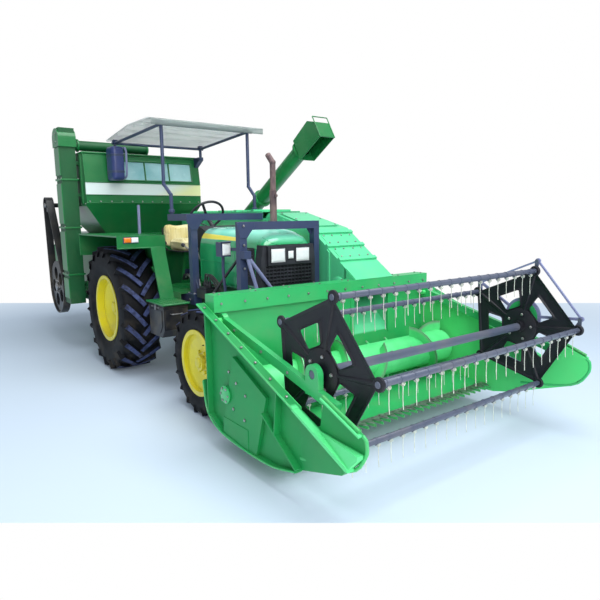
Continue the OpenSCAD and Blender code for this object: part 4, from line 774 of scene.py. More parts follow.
tread += edging([(0.90, STEP_EDGE_Y, STEP_Z), (STEP_FRONT, STEP_EDGE_Y, STEP_Z), (STEP_FRONT, -0.56, STEP_Z)],
                0.010, 10)
tread += [block((0.37, y - 0.012, FLOOR_TOP), (0.86, y + 0.012, FLOOR_TOP + 0.005))
          for y in np.linspace(-0.38, 0.38, 9)]
piece("step_tread", "machine", body_green, tread)
lid = [block((0.925, BOX_SIDE, 0.852), (BOX_FRONT, -0.555, 0.868)),
       block((1.299, -0.80, 0.655), (1.305, -0.575, 0.845)),
       plate([(0.96, 0.60), (1.20, 0.60), (1.26, 0.68), (1.26, 0.83), (0.96, 0.83)], BOX_SIDE, -0.814)]
piece("tool_box_lid", "machine", black_enamel, lid, bevel=0.002)
handle = pipe([(BOX_FRONT, -0.75, 0.80), (1.333, -0.75, 0.80), (1.333, -0.63, 0.80),
               (BOX_FRONT, -0.63, 0.80)], 0.006, 8)
piece("tool_box_latches", "machine", steel,
      [handle, bolts([(x, BOX_SIDE, 0.86) for x in (1.04, 1.20)], (0, -1, 0), 0.018),
       block((1.10, -0.829, 0.83), (1.13, -0.820, 0.89))])
collar = [(0.022, 0.0), (0.030, 0.012), (0.030, 0.03), (0.022, 0.04)]
piece("steering_column", "machine", dark_plastic,
      [turned(collar, (0.715, 0, 1.740), (-0.766, 0, 0.643), 24),
       pipe([(0.90, -0.02, 1.61), (0.83, -0.10, 1.66), (0.78, -0.19, 1.70)], 0.006, 8, 5)])


# Seat: two stuffed pads in cream vinyl, each cover sewn in channels and closed by a piped seam, on
# a pressed pan with a folded rim.
PAD_ROWS, PAD_COLS, PAD_CORNER = 33, 64, 0.32
VOXEL, PRESSURE, LAST_FRAME, SWELL_CAP = 0.008, 4.0, 20, 0.022
CHANNELS, STITCH, GROOVE_DEEP, BEAD_HIGH = np.linspace(-0.135, 0.135, 5), 0.006, 0.007, 0.005
PAN_Z, PAN_HALF = 1.352, 0.217


def vertices(mesh, what):
    """A mesh's places or normals, one row a vertex."""
    values = np.empty(len(mesh.vertices) * 3)
    mesh.vertices.foreach_get(what, values)
    return values.reshape(-1, 3)


def stuffed(name, low, high, lean, seam_axis, seam_at, material):
    """Rounded block remeshed to even faces, swollen by cloth pressure, each point's move capped; then one
    subdivision, sewn grooves at the channels and a raised bead along the seam."""
    low, high = np.array(low), np.array(high)
    angle, turn = np.meshgrid(np.linspace(-np.pi / 2, np.pi / 2, PAD_ROWS),
                              np.linspace(0, 2 * np.pi, PAD_COLS, endpoint=False), indexing="ij")
    wide = squared(np.cos(angle), PAD_CORNER)
    unit = np.stack([wide * squared(np.cos(turn), PAD_CORNER), wide * squared(np.sin(turn), PAD_CORNER),
                     squared(np.sin(angle), PAD_CORNER)], -1)
    start = (low + high) / 2 + (high - low) / 2 * unit
    start[..., 0] += lean * (start[..., 2] - low[2])
    blank = bpy.data.meshes.new(name)
    blank.from_pydata((start.reshape(-1, 3) + AXLE).tolist(), [],
                      quads(PAD_ROWS, PAD_COLS, wrap_cols=True).tolist())
    pad = bpy.data.objects.new(name, blank)
    bpy.context.scene.collection.objects.link(pad)
    voxel = pad.modifiers.new("even", "REMESH")
    voxel.mode, voxel.voxel_size, voxel.use_smooth_shade = "VOXEL", VOXEL, True

    def taken():
        """The pad's mesh with its modifiers applied."""
        bpy.context.view_layer.update()
        return bpy.data.meshes.new_from_object(pad.evaluated_get(bpy.context.evaluated_depsgraph_get()))

    pad.data = taken()
    pad.modifiers.clear()
    rest = vertices(pad.data, "co")
    cloth = pad.modifiers.new("stuffing", "CLOTH")
    cloth.settings.use_pressure, cloth.settings.uniform_pressure_force = True, PRESSURE
    cloth.settings.effector_weights.gravity = 0.0
    for frame_number in range(1, LAST_FRAME + 1):
        bpy.context.scene.frame_set(frame_number)
    move = vertices(taken(), "co") - rest
    bpy.context.scene.frame_set(1)
    pad.modifiers.clear()
    length = np.linalg.norm(move, axis=1, keepdims=True)
    rest += move * np.minimum(1.0, SWELL_CAP / np.maximum(length, 1e-9))
    pad.data.vertices.foreach_set("co", rest.ravel())
    smooth = pad.modifiers.new("smooth", "SUBSURF")
    smooth.levels = smooth.render_levels = 1
    pad.data = taken()
    pad.modifiers.clear()
    spots, normals = vertices(pad.data, "co"), vertices(pad.data, "normal")
    own = spots - AXLE
    face = normals[:, seam_axis] ** 2
    groove = sum(np.exp(-((own[:, 1] - at) / STITCH) ** 2) for at in CHANNELS)
    from_seam = own[:, seam_axis] - lean * (own[:, 2] - low[2]) - seam_at
    bead = np.exp(-(from_seam / STITCH) ** 2) * (1 - face)
    spots += normals * (BEAD_HIGH * bead - GROOVE_DEEP * groove * face)[:, None]
    spots[:, 2] = np.maximum(spots[:, 2], low[2] - 0.012)
    pad.data.vertices.foreach_set("co", spots.ravel())
    pad.data.materials.clear()
    pad.data.materials.append(material)
    pad.data.polygons.foreach_set("use_smooth", np.ones(len(pad.data.polygons), bool))
    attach(pad, "machine")
    return pad


vinyl, vinyl_shader, vinyl_place = finish("cream_vinyl", Specular_IOR_Level=0.4)
vinyl_drift = vinyl_place.noise(4.0, 5.0)
vinyl_tone = vinyl_drift.ramp(0.3, 0.7).blend(srgb(222, 202, 128), srgb(244, 236, 196))
stain = vinyl_place.noise(11.0, 6.0).ramp(0.6, 0.85) * 0.4
stain.blend(vinyl_tone, srgb(140, 124, 92)).to(vinyl_shader.inputs["Base Color"])
(0.36 + 0.2 * vinyl_drift).to(vinyl_shader.inputs["Roughness"])
grain = vinyl_place.node("TexVoronoi", None, {"Vector": vinyl_place, "Scale": 260.0})
grain.bump(0.25, 0.0008).to(vinyl_shader.inputs["Normal"])
cushion = stuffed("seat_cushion", (0.006, -0.194, 1.359), (0.454, 0.194, 1.474), 0.0, 2, 1.452, vinyl)
stuffed("seat_back", (-0.113, -0.194, 1.384), (-0.026, 0.194, 1.665), -0.062, 0, -0.040, vinyl)
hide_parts("seat_cushions")
pan_rim = [(-0.02, -PAN_HALF, PAN_Z), (0.44, -PAN_HALF, PAN_Z), (0.475, -0.18, PAN_Z), (0.475, 0.18, PAN_Z),
           (0.44, PAN_HALF, PAN_Z), (-0.02, PAN_HALF, PAN_Z)]
piece("seat_pan", "machine", black_enamel,
      [pipe(pan_rim, 0.009, 10), block((-0.02, -PAN_HALF, 1.343), (0.46, PAN_HALF, 1.350))]
      + [pipe([(-0.05, y, 1.35), (-0.155, y, 1.42), (-0.170, y, 1.62)], 0.011, 10, 6) for y in (-0.17, 0.17)])


# Canopy: four bent tubes carry a sheet roof with a bend along its ridge; cross ribs are welded under
# it, a bead runs round its edge, strap clips hold it to the tubes, and a bent post stands by the seat.
ROOF_RIGHT, ROOF_LEFT, ROOF_BACK, ROOF_FRONT = -0.598, 0.773, -0.752, 0.703
RIDGE_X, RIDGE_UNDER = 0.01, 2.778


def roof_fold_shade(place):
    """Front fold of the roof, below its top face, painted grey as painted shade."""
    return (ahead(place) - 0.640).ramp(0.0, 0.02) * (2.776 - place.axis("Z")).ramp(0.0, 0.003)


def roof_low(x):
    """Underside of the roof: two straight slopes that meet at the ridge."""
    return RIDGE_UNDER - (0.074 * (RIDGE_X - x) / 0.756 if x < RIDGE_X else 0.006 * (x - RIDGE_X) / 0.624)


# The grey on the roof's front fold is painted shade, the tone of the shaded underside.
roof_white = paint("roof_white_enamel", srgb(238, 240, 240), dust=0.3, gloss=0.3, fade=0.1, chips=0.2,
                   marks=[(roof_fold_shade, srgb(176, 186, 184))])
roof_shader = roof_white.node_tree.nodes["Principled BSDF"]
roof_shader.inputs["Transmission Weight"].default_value = 0.78
roof_shader.inputs["IOR"].default_value = 1.08
dress(roof_white, "canopy_roof")
trim = [block((x - 0.012, -0.585, roof_low(x) - 0.022), (x + 0.012, 0.76, roof_low(x) - 0.001))
        for x in (-0.40, -0.14, 0.14, 0.40)]
for y in (ROOF_RIGHT, ROOF_LEFT):
    trim += edging([(ROOF_BACK, y, 2.704), (RIDGE_X, y, 2.786), (0.63, y, 2.780), (ROOF_FRONT, y, 2.764)],
                   0.008, 10)
for x, z in ((ROOF_BACK, 2.700), (ROOF_FRONT, 2.714)):
    trim += edging([(x, ROOF_RIGHT, z), (x, ROOF_LEFT, z)], 0.008, 10)
piece("roof_ribs", "machine", roof_white, trim)
clip_spots = [(x, y, roof_low(x) + 0.013) for x in (-0.62, 0.56) for y in (-0.46, -0.28, 0.40, 0.60)]
piece("roof_clips", "machine", steel, [bolts(clip_spots, (0, 0, 1), 0.024, 0.008)])
socket = [(0.026, 0.0), (0.032, 0.004), (0.032, 0.03), (0.026, 0.035)]
piece("canopy_sockets", "machine", navy,
      [turned(socket, at, (0, 0, 1), 24) for at in ((0.75, -0.44, 1.795), (0.75, 0.61, 1.815))])
piece("cab_post", "machine", lavender,
      [pipe([(-0.27, -0.435, 0.955), (-0.28, -0.43, 1.30), (-0.31, -0.41, 1.60), (-0.35, -0.39, 1.90)],
            0.018, 14, 6),
       block((-0.33, -0.475, 0.955), (-0.21, -0.405, 0.970))])


# Feeder: a folded sheet duct along the tractor's left side with a hinged front half that lifts with
# the header; lids are screwed on, and stiffening ridges cross its sides.
LID_X, LID_TOP, SIDE_LID_X = (-0.41, -0.03, 0.35, 0.73), 1.804, (-0.42, 0.10, 0.62)
SLOPE_OUT, COVER_HIGH, COVER_SPANS = (0.5724, 0.0, 0.8200), 0.005, ((0.19, 0.40), (0.53, 0.74))
RIB_Y, RIB_THICK = (0.394, 0.878), 0.012
SIDE_RIBS = [[(1.62, 1.715), (1.66, 1.705), (1.66, 1.44), (1.62, 1.46)],
             [(2.02, 1.62), (2.06, 1.61), (2.06, 1.23), (2.02, 1.26)],
             [(2.34, 1.43), (2.375, 1.405), (2.375, 0.97), (2.34, 0.995)]]


def slope(t, lift, y):
    """Points at a fraction along the hinged feeder's long slope, lifted square to it."""
    t = np.asarray(t, float)
    return np.stack([2.09 + 0.51 * t + SLOPE_OUT[0] * lift, y + 0 * t,
                     1.62 - 0.356 * t + SLOPE_OUT[2] * lift], -1)


def cover(start, end):
    """Thin cover on the slope: its four corners on the sheet and again at the cover's height."""
    corners = [(start, 0.45), (end, 0.45), (end, 0.835), (start, 0.835)]
    rows = [[slope(t, lift, y) for t, y in corners] for lift in (-0.001, COVER_HIGH)]
    return np.stack(rows), [quads(2, 4, wrap_cols=True), np.array([[3, 2, 1, 0], [4, 5, 6, 7]])]


def panel(x0, x1, z0, z1, low, high, axis=1):
    """Upright rectangle drawn out along one axis from low to high."""
    return plate([(x0, z0), (x1, z0), (x1, z1), (x0, z1)], low, high, axis)


# The feeder's pale mint is painted light: the header's green paint made paler where strong light falls from
# above.
feeder_lit_green = paint("feeder_green_enamel", srgb(84, 202, 144), dust=0.3, gloss=0.26, fade=0.14)
dress(feeder_lit_green, "upper_feeder", "lower_feeder")
lids = [block((x, 0.425, 1.799), (x + 0.27, 0.86, LID_TOP)) for x in LID_X]
lids += [panel(x, x + 0.30, 1.565, 1.765, y, y + 0.006) for x in SIDE_LID_X for y in (0.381, 0.898)]
piece("feeder_lids", "machine", feeder_lit_green, lids, bevel=0.0015)
lid_spots = [(x + u, y, LID_TOP) for x in LID_X for u in (0.02, 0.135, 0.25) for y in (0.445, 0.84)]
screws = [bolts(lid_spots, (0, 0, 1), 0.016, 0.007)]
screws += [bolts([(x + u, y, z) for u in (0.02, 0.15, 0.28) for z in (1.58, 1.75)], (0, s, 0), 0.016, 0.007)
           for x in SIDE_LID_X for y, s in ((0.381, -1), (0.904, 1))]
pin_nut = [(0.034, 0.0), (0.034, 0.008), (0.022, 0.010), (0.022, 0.024), (0.014, 0.028)]
screws += [turned(pin_nut, (1.40, y, 1.665), (0, s, 0), 24) for y, s in ((0.384, -1), (0.901, 1))]
piece("feeder_screws", "machine", steel, screws)
throat = [plate([(2.594, 1.263), (2.600, 1.269), (2.736, 1.174), (2.730, 1.168)], 0.408, 0.877)]
throat += [plate([(2.580, 1.268), (2.732, 1.170), (2.580, 1.170)], y, y + 0.006) for y in (0.405, 0.874)]
piece("feeder_throat", "header", feeder_lit_green, throat)
top_lid = plate([(1.47, 1.775), (2.02, 1.642), (2.02, 1.648), (1.47, 1.781)], 0.46, 0.825)
piece("header_feeder_ribs", "header", feeder_lit_green,
      [cover(*span) for span in COVER_SPANS]
      + [plate(rib, y, y + RIB_THICK) for rib in SIDE_RIBS for y in RIB_Y] + [top_lid], bevel=0.0015)
cover_spots = [slope(t, COVER_HIGH, y)
               for t in (0.205, 0.385, 0.545, 0.725) for y in (0.475, 0.58, 0.70, 0.81)]
top_spots = [(x, y, 1.781 - 0.242 * (x - 1.47)) for x in (1.50, 1.75, 1.99) for y in (0.48, 0.80)]
piece("header_feeder_screws", "header", steel,
      [bolts(cover_spots, SLOPE_OUT, 0.018, 0.008), bolts(top_spots, (0.23, 0, 0.97), 0.018, 0.008)])
chain_cap = [(0.085, 0.0), (0.085, 0.014), (0.070, 0.022), (0.030, 0.024), (0.028, 0.036), (0.010, 0.038)]
piece("header_feeder_caps", "header", feeder_lit_green,
      [turned(chain_cap, (2.50, y, 1.10), (0, s, 0), 32) for y, s in ((0.406, -1), (0.879, 1))])


# Threshing body: a bolted sheet housing with flat side doors, a fan opening, rolled edges and a
# tapering straw hood with two red lamps and a rubber curtain behind.
BODY_RIGHT, BODY_LEFT, DOOR_LOW, DOOR_TOP, DOOR_THICK = -0.75, 0.69, 0.72, 1.46, 0.010
REAR_DOOR, LONG_DOOR = (-2.68, -2.22), (-2.14, -1.30)
FAN = np.array([-1.02, BODY_LEFT, 1.05])
TAIL_SHIFT = -0.555
dress(body_green, "threshing_body", "straw_hood", "unload_elbow")
doors, ribs, screws = [], [], []
for s, y, spans in ((-1, BODY_RIGHT, [REAR_DOOR]), (1, BODY_LEFT, [REAR_DOOR, LONG_DOOR])):
    out = y + s * DOOR_THICK
    for x0, x1 in spans:
        doors.append(panel(x0, x1, DOOR_LOW, DOOR_TOP, y, out))
        back, fore, low, top = x0 + 0.03, x1 - 0.03, DOOR_LOW + 0.03, DOOR_TOP - 0.03
        doors += edging([(back, out, low), (fore, out, low), (fore, out, top), (back, out, top)],
                        0.005, 8, closed=True, count=2)
        spots = [(x, out, z) for x in np.linspace(x0 + 0.015, x1 - 0.015, 4)
                 for z in (DOOR_LOW + 0.015, DOOR_TOP - 0.015)]
        screws.append(bolts(spots, (0, s, 0), 0.018, 0.008))
    ribs += [pipe(line((-0.83, y, z), (-2.74, y, z), 3), 0.009, 8) for z in (1.515, 0.655)]
    ribs += [panel(x, x + 0.03, 0.64, 1.53, y, y + s * 0.018) for x in (-2.745, -2.19)]
    ribs.append(pipe([(-2.76, y, 1.52), (-2.99, y, 1.485), (-3.28, y, 1.29), (-3.28, y, 0.99),
                      (-2.77, y, 0.875)], 0.008, 8))
fan_rim = [(0.17, 0.0), (0.17, 0.020), (0.155, 0.026), (0.145, 0.020), (0.145, 0.0)]
blade = np.array([(0.05, -0.01), (0.14, -0.025), (0.14, 0.005), (0.05, 0.01)]) + FAN[[0, 2]]
ribs += [turned(fan_rim, FAN, (0, 1, 0), 40, ring=True),
         repeated(plate(blade, 0.688, 0.706), np.arange(8) * np.pi / 4, FAN * [1, 0, 1])]
piece("body_doors", "machine", body_green, doors, bevel=0.0015)
piece("body_ribs", "machine", body_green, ribs)
piece("body_screws", "machine", steel, screws)
piece("door_grips", "machine", black_enamel,
      [pipe([(x, y, 1.02), (x, y + s * 0.03, 1.03), (x, y + s * 0.03, 1.15), (x, y, 1.16)], 0.007, 8)
       for x, y, s in ((-2.28, -0.76, -1), (-2.28, 0.70, 1), (-1.42, 0.70, 1))])
tail = [lens((2.743, y, 1.18), (2.765, y + 0.11, 1.25), 0.010) for y in (-0.66, 0.49)]
piece("tail_lamps", "machine", glass("red_glass", srgb(190, 22, 20), 40.0),
      [(spots * [-1, 1, 1] + (TAIL_SHIFT, 0, 0), faces) for spots, faces in tail])
strips = np.linspace(-0.735, 0.675, 17)
piece("straw_curtain", "machine", rubber("curtain_rubber", 0.0, 9.0),
      [block((-3.292, a + 0.002, 0.86), (-3.286, b - 0.002, 1.00)) for a, b in zip(strips, strips[1:])])
pin = [(0.015, -0.12), (0.015, 0.06), (0.026, 0.062), (0.026, 0.075), (0.010, 0.080)]
piece("hitch_pin", "machine", steel, [turned(pin, (-3.23, 0, 0.60), (0, 0, 1), 20)])


# Grain tank: a sheet hopper over the body with a bare white band across its front, a framed pale
# window, a rolled rim and pressed ribs; a dark air canister hangs on its front corner.
BAND_LOW, BAND_TOP, TANK_FACE, RIM_Z = 2.040, 2.188, -0.797, 2.556
TANK_RIGHT, TANK_LEFT, TANK_FRONT, TANK_BACK = -0.876, 0.686, -0.856, -2.046
TANK_RIB_LOW, TANK_RIB_TOP, TANK_RIB_WIDE = 1.93, 2.54, 0.04
PANE_RIGHT, PANE_LEFT, PANE_LOW, PANE_TOP = -0.437, 0.567, 2.225, 2.475
CANISTER_X, CANISTER_Y, STRAP_Z = -0.685, -0.530, (2.30, 2.50)


def tank_band(place):
    """Front of the tank between two heights."""
    x, z = ahead(place), place.axis("Z")
    return (x + 0.815).ramp(0.0, 0.004) * (z - BAND_LOW).ramp(0.0, 0.003) * (BAND_TOP - z).ramp(0.0, 0.003)


def aside(place):
    """Reach of a material's coordinates to the left of the tractor's middle."""
    return place.axis("Y") - float(AXLE[1])


def band_tint(place):
    """Lower left part of the band, where the white has yellowed."""
    return tank_band(place) * (aside(place) + 2.0 * (2.12 - place.axis("Z"))).ramp(0.15, 0.55) * 0.75


def front(z):
    """Reach of the window's frame on the leaning upper front of the tank at a height."""
    return -0.800 - 0.060 * (z - 2.19) / 0.37 + 0.004


def canister_ring(z, wide):
    """Rounded section of the canister, carried upwards and drawn in by the widths at these heights."""
    angle = np.linspace(0, 2 * np.pi, 40, endpoint=False)
    section = np.stack([-0.080 * squared(np.sin(angle), 0.45), 0.135 * squared(np.cos(angle), 0.45)], 1)
    z = np.asarray(z)
    path = np.stack([0 * z + CANISTER_X, 0 * z + CANISTER_Y, z], 1)
    return carried(path, section * np.asarray(wide)[:, None, None], (1.0, 0.0, 0.0))


tank_green = paint("tank_green_enamel", srgb(24, 112, 58), dust=0.3, gloss=0.25, fade=0.2,
                   marks=[(tank_band, srgb(214, 226, 224)), (band_tint, srgb(228, 224, 146))])
dress(tank_green, "grain_tank")
# The window's pale teal is a painted reflection of the sky on the pane.
pane, pane_shader, pane_place, _ = mottled(
    "window_pane", srgb(122, 176, 182), srgb(176, 214, 218), (2.2, 4.0), Coat_Weight=0.6, Coat_Roughness=0.05)
(0.14 + 0.2 * pane_place.noise(14.0, 5.0)).to(pane_shader.inputs["Roughness"])
dress(pane, "tank_window")
frames = [pipe([(front(PANE_LOW), y, PANE_LOW), (front(PANE_TOP), y, PANE_TOP)], 0.011, 8)
          for y in (PANE_RIGHT, -0.10, 0.235, PANE_LEFT)]
frames += [pipe(line((front(z), PANE_RIGHT, z), (front(z), PANE_LEFT, z), 3), 0.011, 8)
           for z in (PANE_LOW, PANE_TOP)]
frames += edging([(TANK_FRONT, TANK_RIGHT, RIM_Z), (TANK_FRONT, TANK_LEFT, RIM_Z),
                  (TANK_BACK, TANK_LEFT, RIM_Z), (TANK_BACK, TANK_RIGHT, RIM_Z)], 0.014, 12, closed=True)
frames += [panel(x, x + TANK_RIB_WIDE, TANK_RIB_LOW, TANK_RIB_TOP, y, y + s * 0.016)
           for x in (-1.98, -1.66, -1.34, -0.96) for y, s in ((-0.88, -1), (0.69, 1))]
frames += [panel(y, y + TANK_RIB_WIDE, TANK_RIB_LOW, TANK_RIB_TOP, -2.064, -2.048, 0)
           for y in (-0.80, -0.42, -0.04, 0.34, 0.62)]
frames += [pipe(line((TANK_FACE, -0.877, z), (TANK_FACE, 0.687, z), 3), 0.006, 8)
           for z in (1.935, 2.036, 2.192)]
piece("tank_frames", "machine", tank_green, frames)
front_spots = line((TANK_FACE, -0.84, 1.955), (TANK_FACE, 0.65, 1.955), 12)
side_spots = line((-1.95, -0.88, 1.925), (-0.86, -0.88, 1.925), 8)
piece("tank_bolts", "machine", steel,
      [bolts(front_spots, (1, 0, 0), 0.018, 0.008), bolts(side_spots, (0, -1, 0), 0.018, 0.008)])
canister_blue = paint("canister_blue_enamel", srgb(44, 58, 112), dust=0.2, gloss=0.36)
piece("canister_shell", "machine", canister_blue,
      [canister_ring([2.214, 2.217, 2.228, 2.245, 2.27, 2.40, 2.565, 2.59, 2.608, 2.619, 2.622],
                     [0.70, 0.84, 0.94, 0.985, 1.0, 1.0, 1.0, 0.985, 0.94, 0.84, 0.70])],
      replaces=["intake_canister"], sharp=0.9)
piece("canister_straps", "machine", navy,
      [canister_ring([z, z + 0.003, z + 0.027, z + 0.03], [1.0, 1.03, 1.03, 1.0]) for z in STRAP_Z]
      + [block((-0.875, -0.565, z), (-0.79, -0.495, z + 0.03)) for z in STRAP_Z])
piece("canister_pipe", "machine", lavender,
      [pipe([(-0.66, -0.432, 2.612), (-0.60, -0.432, 2.605), (-0.562, -0.432, 2.56), (-0.556, -0.434, 2.42),
             (-0.566, -0.434, 2.30), (-0.62, -0.434, 2.25), (-0.80, -0.434, 2.235)], 0.014, 12, 6)])


# Elevator, belt drive and unloader: a square grain elevator with bolted flanges, a broad belt on two
# flat pulleys, and a swinging round tube that ends in a square spout with a rolled lip.
LEG_X, LEG_FACE, HEAD_Z, FLANGE_Z, FLANGE_THICK = -1.145, -1.111, 2.742, (1.02, 1.62, 2.22), 0.02
PULLEY, SMALL_PULLEY = np.array([-1.66, -1.106, 0.82]), np.array([-1.96, -1.106, 1.93])
TURRET, TUBE_RISE = np.array([-0.75, 1.03, 1.352]), np.deg2rad(31.3)
TUBE_ALONG = np.array([np.cos(TUBE_RISE), 0.0, np.sin(TUBE_RISE)])
TUBE_UP = np.array([-np.sin(TUBE_RISE), 0.0, np.cos(TUBE_RISE)])
leg_green = paint("elevator_green_enamel", srgb(8, 86, 44), dust=0.2, gloss=0.45, fade=0.24, coat=0.0)
dress(leg_green, "elevator")
dress(body_green, "unloading_tube", "unloading_spout")
dress(black_enamel, "belt_drive")
flanges = [block((-1.285, -1.115, z), (-1.005, -0.900, z + FLANGE_THICK)) for z in FLANGE_Z]
flanges += [block((-1.262, LEG_FACE, z0), (-1.028, -1.098, z1))
            for z0, z1 in ((0.72, 0.98), (1.08, 1.58), (1.68, 2.18), (2.28, 2.62))]
flanges += [turned(hoop(0.062, 0.080, 0.01), (-1.09, y, 2.66), (0, 1, 0), 32, ring=True)
            for y in (-0.87, -0.40, 0.03)]
sweep = np.linspace(0, np.pi, 17)
head = np.vstack([[(-1.292, 2.63), (-0.998, 2.63)],
                  np.stack([LEG_X + 0.147 * np.cos(sweep), HEAD_Z + 0.117 * np.sin(sweep)], 1)])
bearing = [(0.075, 0.0), (0.075, 0.004), (0.05, 0.007), (0.02, 0.008)]
flanges += [plate(head, -1.116, -0.902), turned(bearing, (LEG_X, -1.114, HEAD_Z), (0, -1, 0), 32)]
piece("elevator_flanges", "machine", body_green, flanges, bevel=0.0015)
flange_spots = [(x, y, z + FLANGE_THICK)
                for z in FLANGE_Z for x in (-1.275, LEG_X, -1.015) for y in (-1.107, -0.908)]
bearing_spots = [(LEG_X + u, -1.118, 2.74 + v) for u in (0.045, -0.045) for v in (0.045, -0.045)]
piece("elevator_bolts", "machine", steel,
      [bolts(flange_spots, (0, 0, 1), 0.016, 0.008), bolts(bearing_spots, (0, -1, 0), 0.016)])
hub = np.array([(0.055, 0.0), (0.055, 0.016), (0.038, 0.022), (0.018, 0.024)])
piece("pulley_hubs", "machine", steel,
      [turned(hub, PULLEY, (0, -1, 0), 32), turned(hub * [0.6, 1], SMALL_PULLEY, (0, -1, 0), 24),
       bolts(round_spots(PULLEY + (0, 0.004, 0), 0.09, 6), (0, -1, 0), 0.024)])
tube_rings = [turned(hoop(0.089, 0.118, 0.012), TURRET + TUBE_ALONG * at, TUBE_ALONG, 40, ring=True)
              for at in (0.30, 1.20, 2.20)]
ridge_rod = pipe(TURRET + (0, 0, 0.093) + TUBE_ALONG * np.linspace(0.34, 2.16, 3)[:, None], 0.010, 8)
piece("unloader_flanges", "unloader", body_green, tube_rings + [ridge_rod])
angle = np.arange(8)[:, None] * np.pi / 4
ring_spots = TURRET + TUBE_ALONG * 1.188 + 0.104 * (np.cos(angle) * (0, 1.0, 0) + np.sin(angle) * TUBE_UP)
piece("unloader_bolts", "unloader", steel, [bolts(ring_spots, -TUBE_ALONG, 0.016, 0.009)])
piece("turret_ring", "machine", body_green,
      [turned(hoop(0.108, 0.128, 0.01), (TURRET[0], TURRET[1], 1.40), (0, 0, 1), 40, ring=True)])
lip = [TURRET + TUBE_ALONG * 2.652 + TUBE_UP * up + (0, y, 0)
       for up, y in ((0.102, -0.103), (0.102, 0.103), (-0.160, 0.103), (-0.160, -0.103))]
piece("spout_lip", "unloader", body_green, edging(lip, 0.006, 8, closed=True))


# Header: a wide welded trough with a box rail on top, flared end walls that run out to divider points,
# and a knife bar of riveted steel sections between pointed guards.
LEFT_WALL, RIGHT_WALL, WALL = 1.36, -1.02, 0.008
EDGE_BACK, EDGE_Z, EDGE_FALL = 2.585, 1.095, 0.394
AUGER = np.array([2.95, 0.0, 0.48])
BOTTOM_EDGE = [(2.606, 0.50), (2.666, 0.275), (2.865, 0.174), (3.22, 0.147), (3.54, 0.157), (3.79, 0.214)]
ARM_FOOT_SPOTS = [(3.00, 0.66), (3.10, 0.60), (3.22, 0.54), (3.05, 0.40), (3.20, 0.36)]
RAIL_ENDS, KNIFE_Z, KNIFE_TOP, BLADE_STEP = (-0.96, 1.30), 0.2075, 0.2125, 0.076
NOSE = [(3.80, 0.298), (4.226, 0.380), (4.353, 0.502), (4.362, 0.588), (4.336, 0.616)]


def lit_wall_insides(place):
    """Faces of the end walls that look into the trough, painted brighter as painted light on these lit faces.
    """
    y = aside(place)
    return (y - RIGHT_WALL + 0.006).ramp(0.0, 0.004) * (LEFT_WALL + 0.006 - y).ramp(0.0, 0.004)


def divider_edge_light(place):
    """Folded edge of a divider, past the end of the wall and outside its sheet; painted brighter as painted
    light on its upward faces.
    """
    x, y = ahead(place), aside(place)
    outside = (RIGHT_WALL - 0.014 - y).ramp(0.0, 0.01) + (y - LEFT_WALL - 0.014).ramp(0.0, 0.01)
    above = place.axis("Z") + 0.413 * (x - 3.78) - 0.600
    return x.ramp(3.76, 3.78) * outside * above.ramp(0.0, 0.006)


header_green = paint("header_green_enamel", srgb(48, 174, 98), dust=0.25, gloss=0.25, fade=0.12)
# The brighter green on the end walls' insides and on the divider edges is painted light.
wall_green = paint("wall_green_enamel", srgb(16, 142, 72), dust=0.08, gloss=0.5, fade=0.16, coat=0.0,
                   marks=[(lit_wall_insides, srgb(78, 208, 116)), (divider_edge_light, srgb(84, 210, 132))])
guard_green = paint("guard_green_enamel", srgb(60, 168, 92), dust=0.5, gloss=0.35)
dress(header_green, "header_trough")
dress(wall_green, "header_sides")
dress(guard_green, "cutterbar")
end_cap = [(0.066, 0.0), (0.066, 0.006), (0.050, 0.010), (0.020, 0.012)]
beads, wall_bolts, shoes = [], [], []
for y, s in ((LEFT_WALL, 1), (RIGHT_WALL, -1)):
    out = y + s * WALL
    hub = AUGER + (0, out, 0)
    beads += [pipe([(EDGE_BACK, out + s * 0.056, EDGE_Z), (3.79, out + s * 0.056, 0.618)], 0.007, 10),
              pipe([(x, out + s * 0.040, z) for x, z in BOTTOM_EDGE], 0.006, 8, 5),
              turned(end_cap, hub + (0, s * 0.036, 0), (0, s, 0), 32)]
    shoes.append(plate([(2.90, 0.172), (3.20, 0.146), (3.24, 0.146), (3.24, 0.300), (2.90, 0.300)],
                       out + s * 0.028, out + s * 0.032))
    edge_spots = [(x, out + s * 0.030, EDGE_Z - EDGE_FALL * (x - EDGE_BACK) + 0.008)
                  for x in np.linspace(2.66, 3.70, 7)]
    wall_bolts += [bolts(round_spots(hub + (0, s * 0.044, 0), 0.05, 6), (0, s, 0), 0.016, 0.008),
                   bolts([(x, out + s * 0.028, z) for x, z in ARM_FOOT_SPOTS], (0, s, 0), 0.020, 0.009),
                   bolts(edge_spots, (0.37, 0, 0.93), 0.018, 0.008)]
piece("wall_beads", "header", header_green, beads)
piece("wall_shoes", "header", wall_green, shoes)
ribs = [block((2.598, y - 0.05, 1.06), (2.601, y + 0.05, 1.15)) for y in (-0.80, -0.25, 0.20, 1.10)]
ribs += [panel(2.666, 2.681, 0.52, 1.03, y - 0.015, y + 0.015) for y in (-0.90, -0.60, 0.10, 0.98, 1.22)]
ribs += [block((2.687, y0, z0), (2.696, y1, z1)) for y0, y1, z0, z1 in
         ((0.385, 0.425, 0.64, 1.035), (0.860, 0.900, 0.64, 1.035), (0.385, 0.900, 1.018, 1.036))]
piece("trough_ribs", "header", header_green, ribs, bevel=0.0015)
top_spots = [(x, y, 1.171) for x in (2.63, 2.71) for y in np.linspace(*RAIL_ENDS, 8)]
wall_bolts += [bolts([(2.742, y, 1.105) for y in np.linspace(*RAIL_ENDS, 12)], (1, 0, 0), 0.018, 0.008),
               bolts(top_spots, (0, 0, 1), 0.016, 0.008)]
piece("header_bolts", "header", steel, wall_bolts)
blade_y = np.arange(-0.968, 1.33, BLADE_STEP)
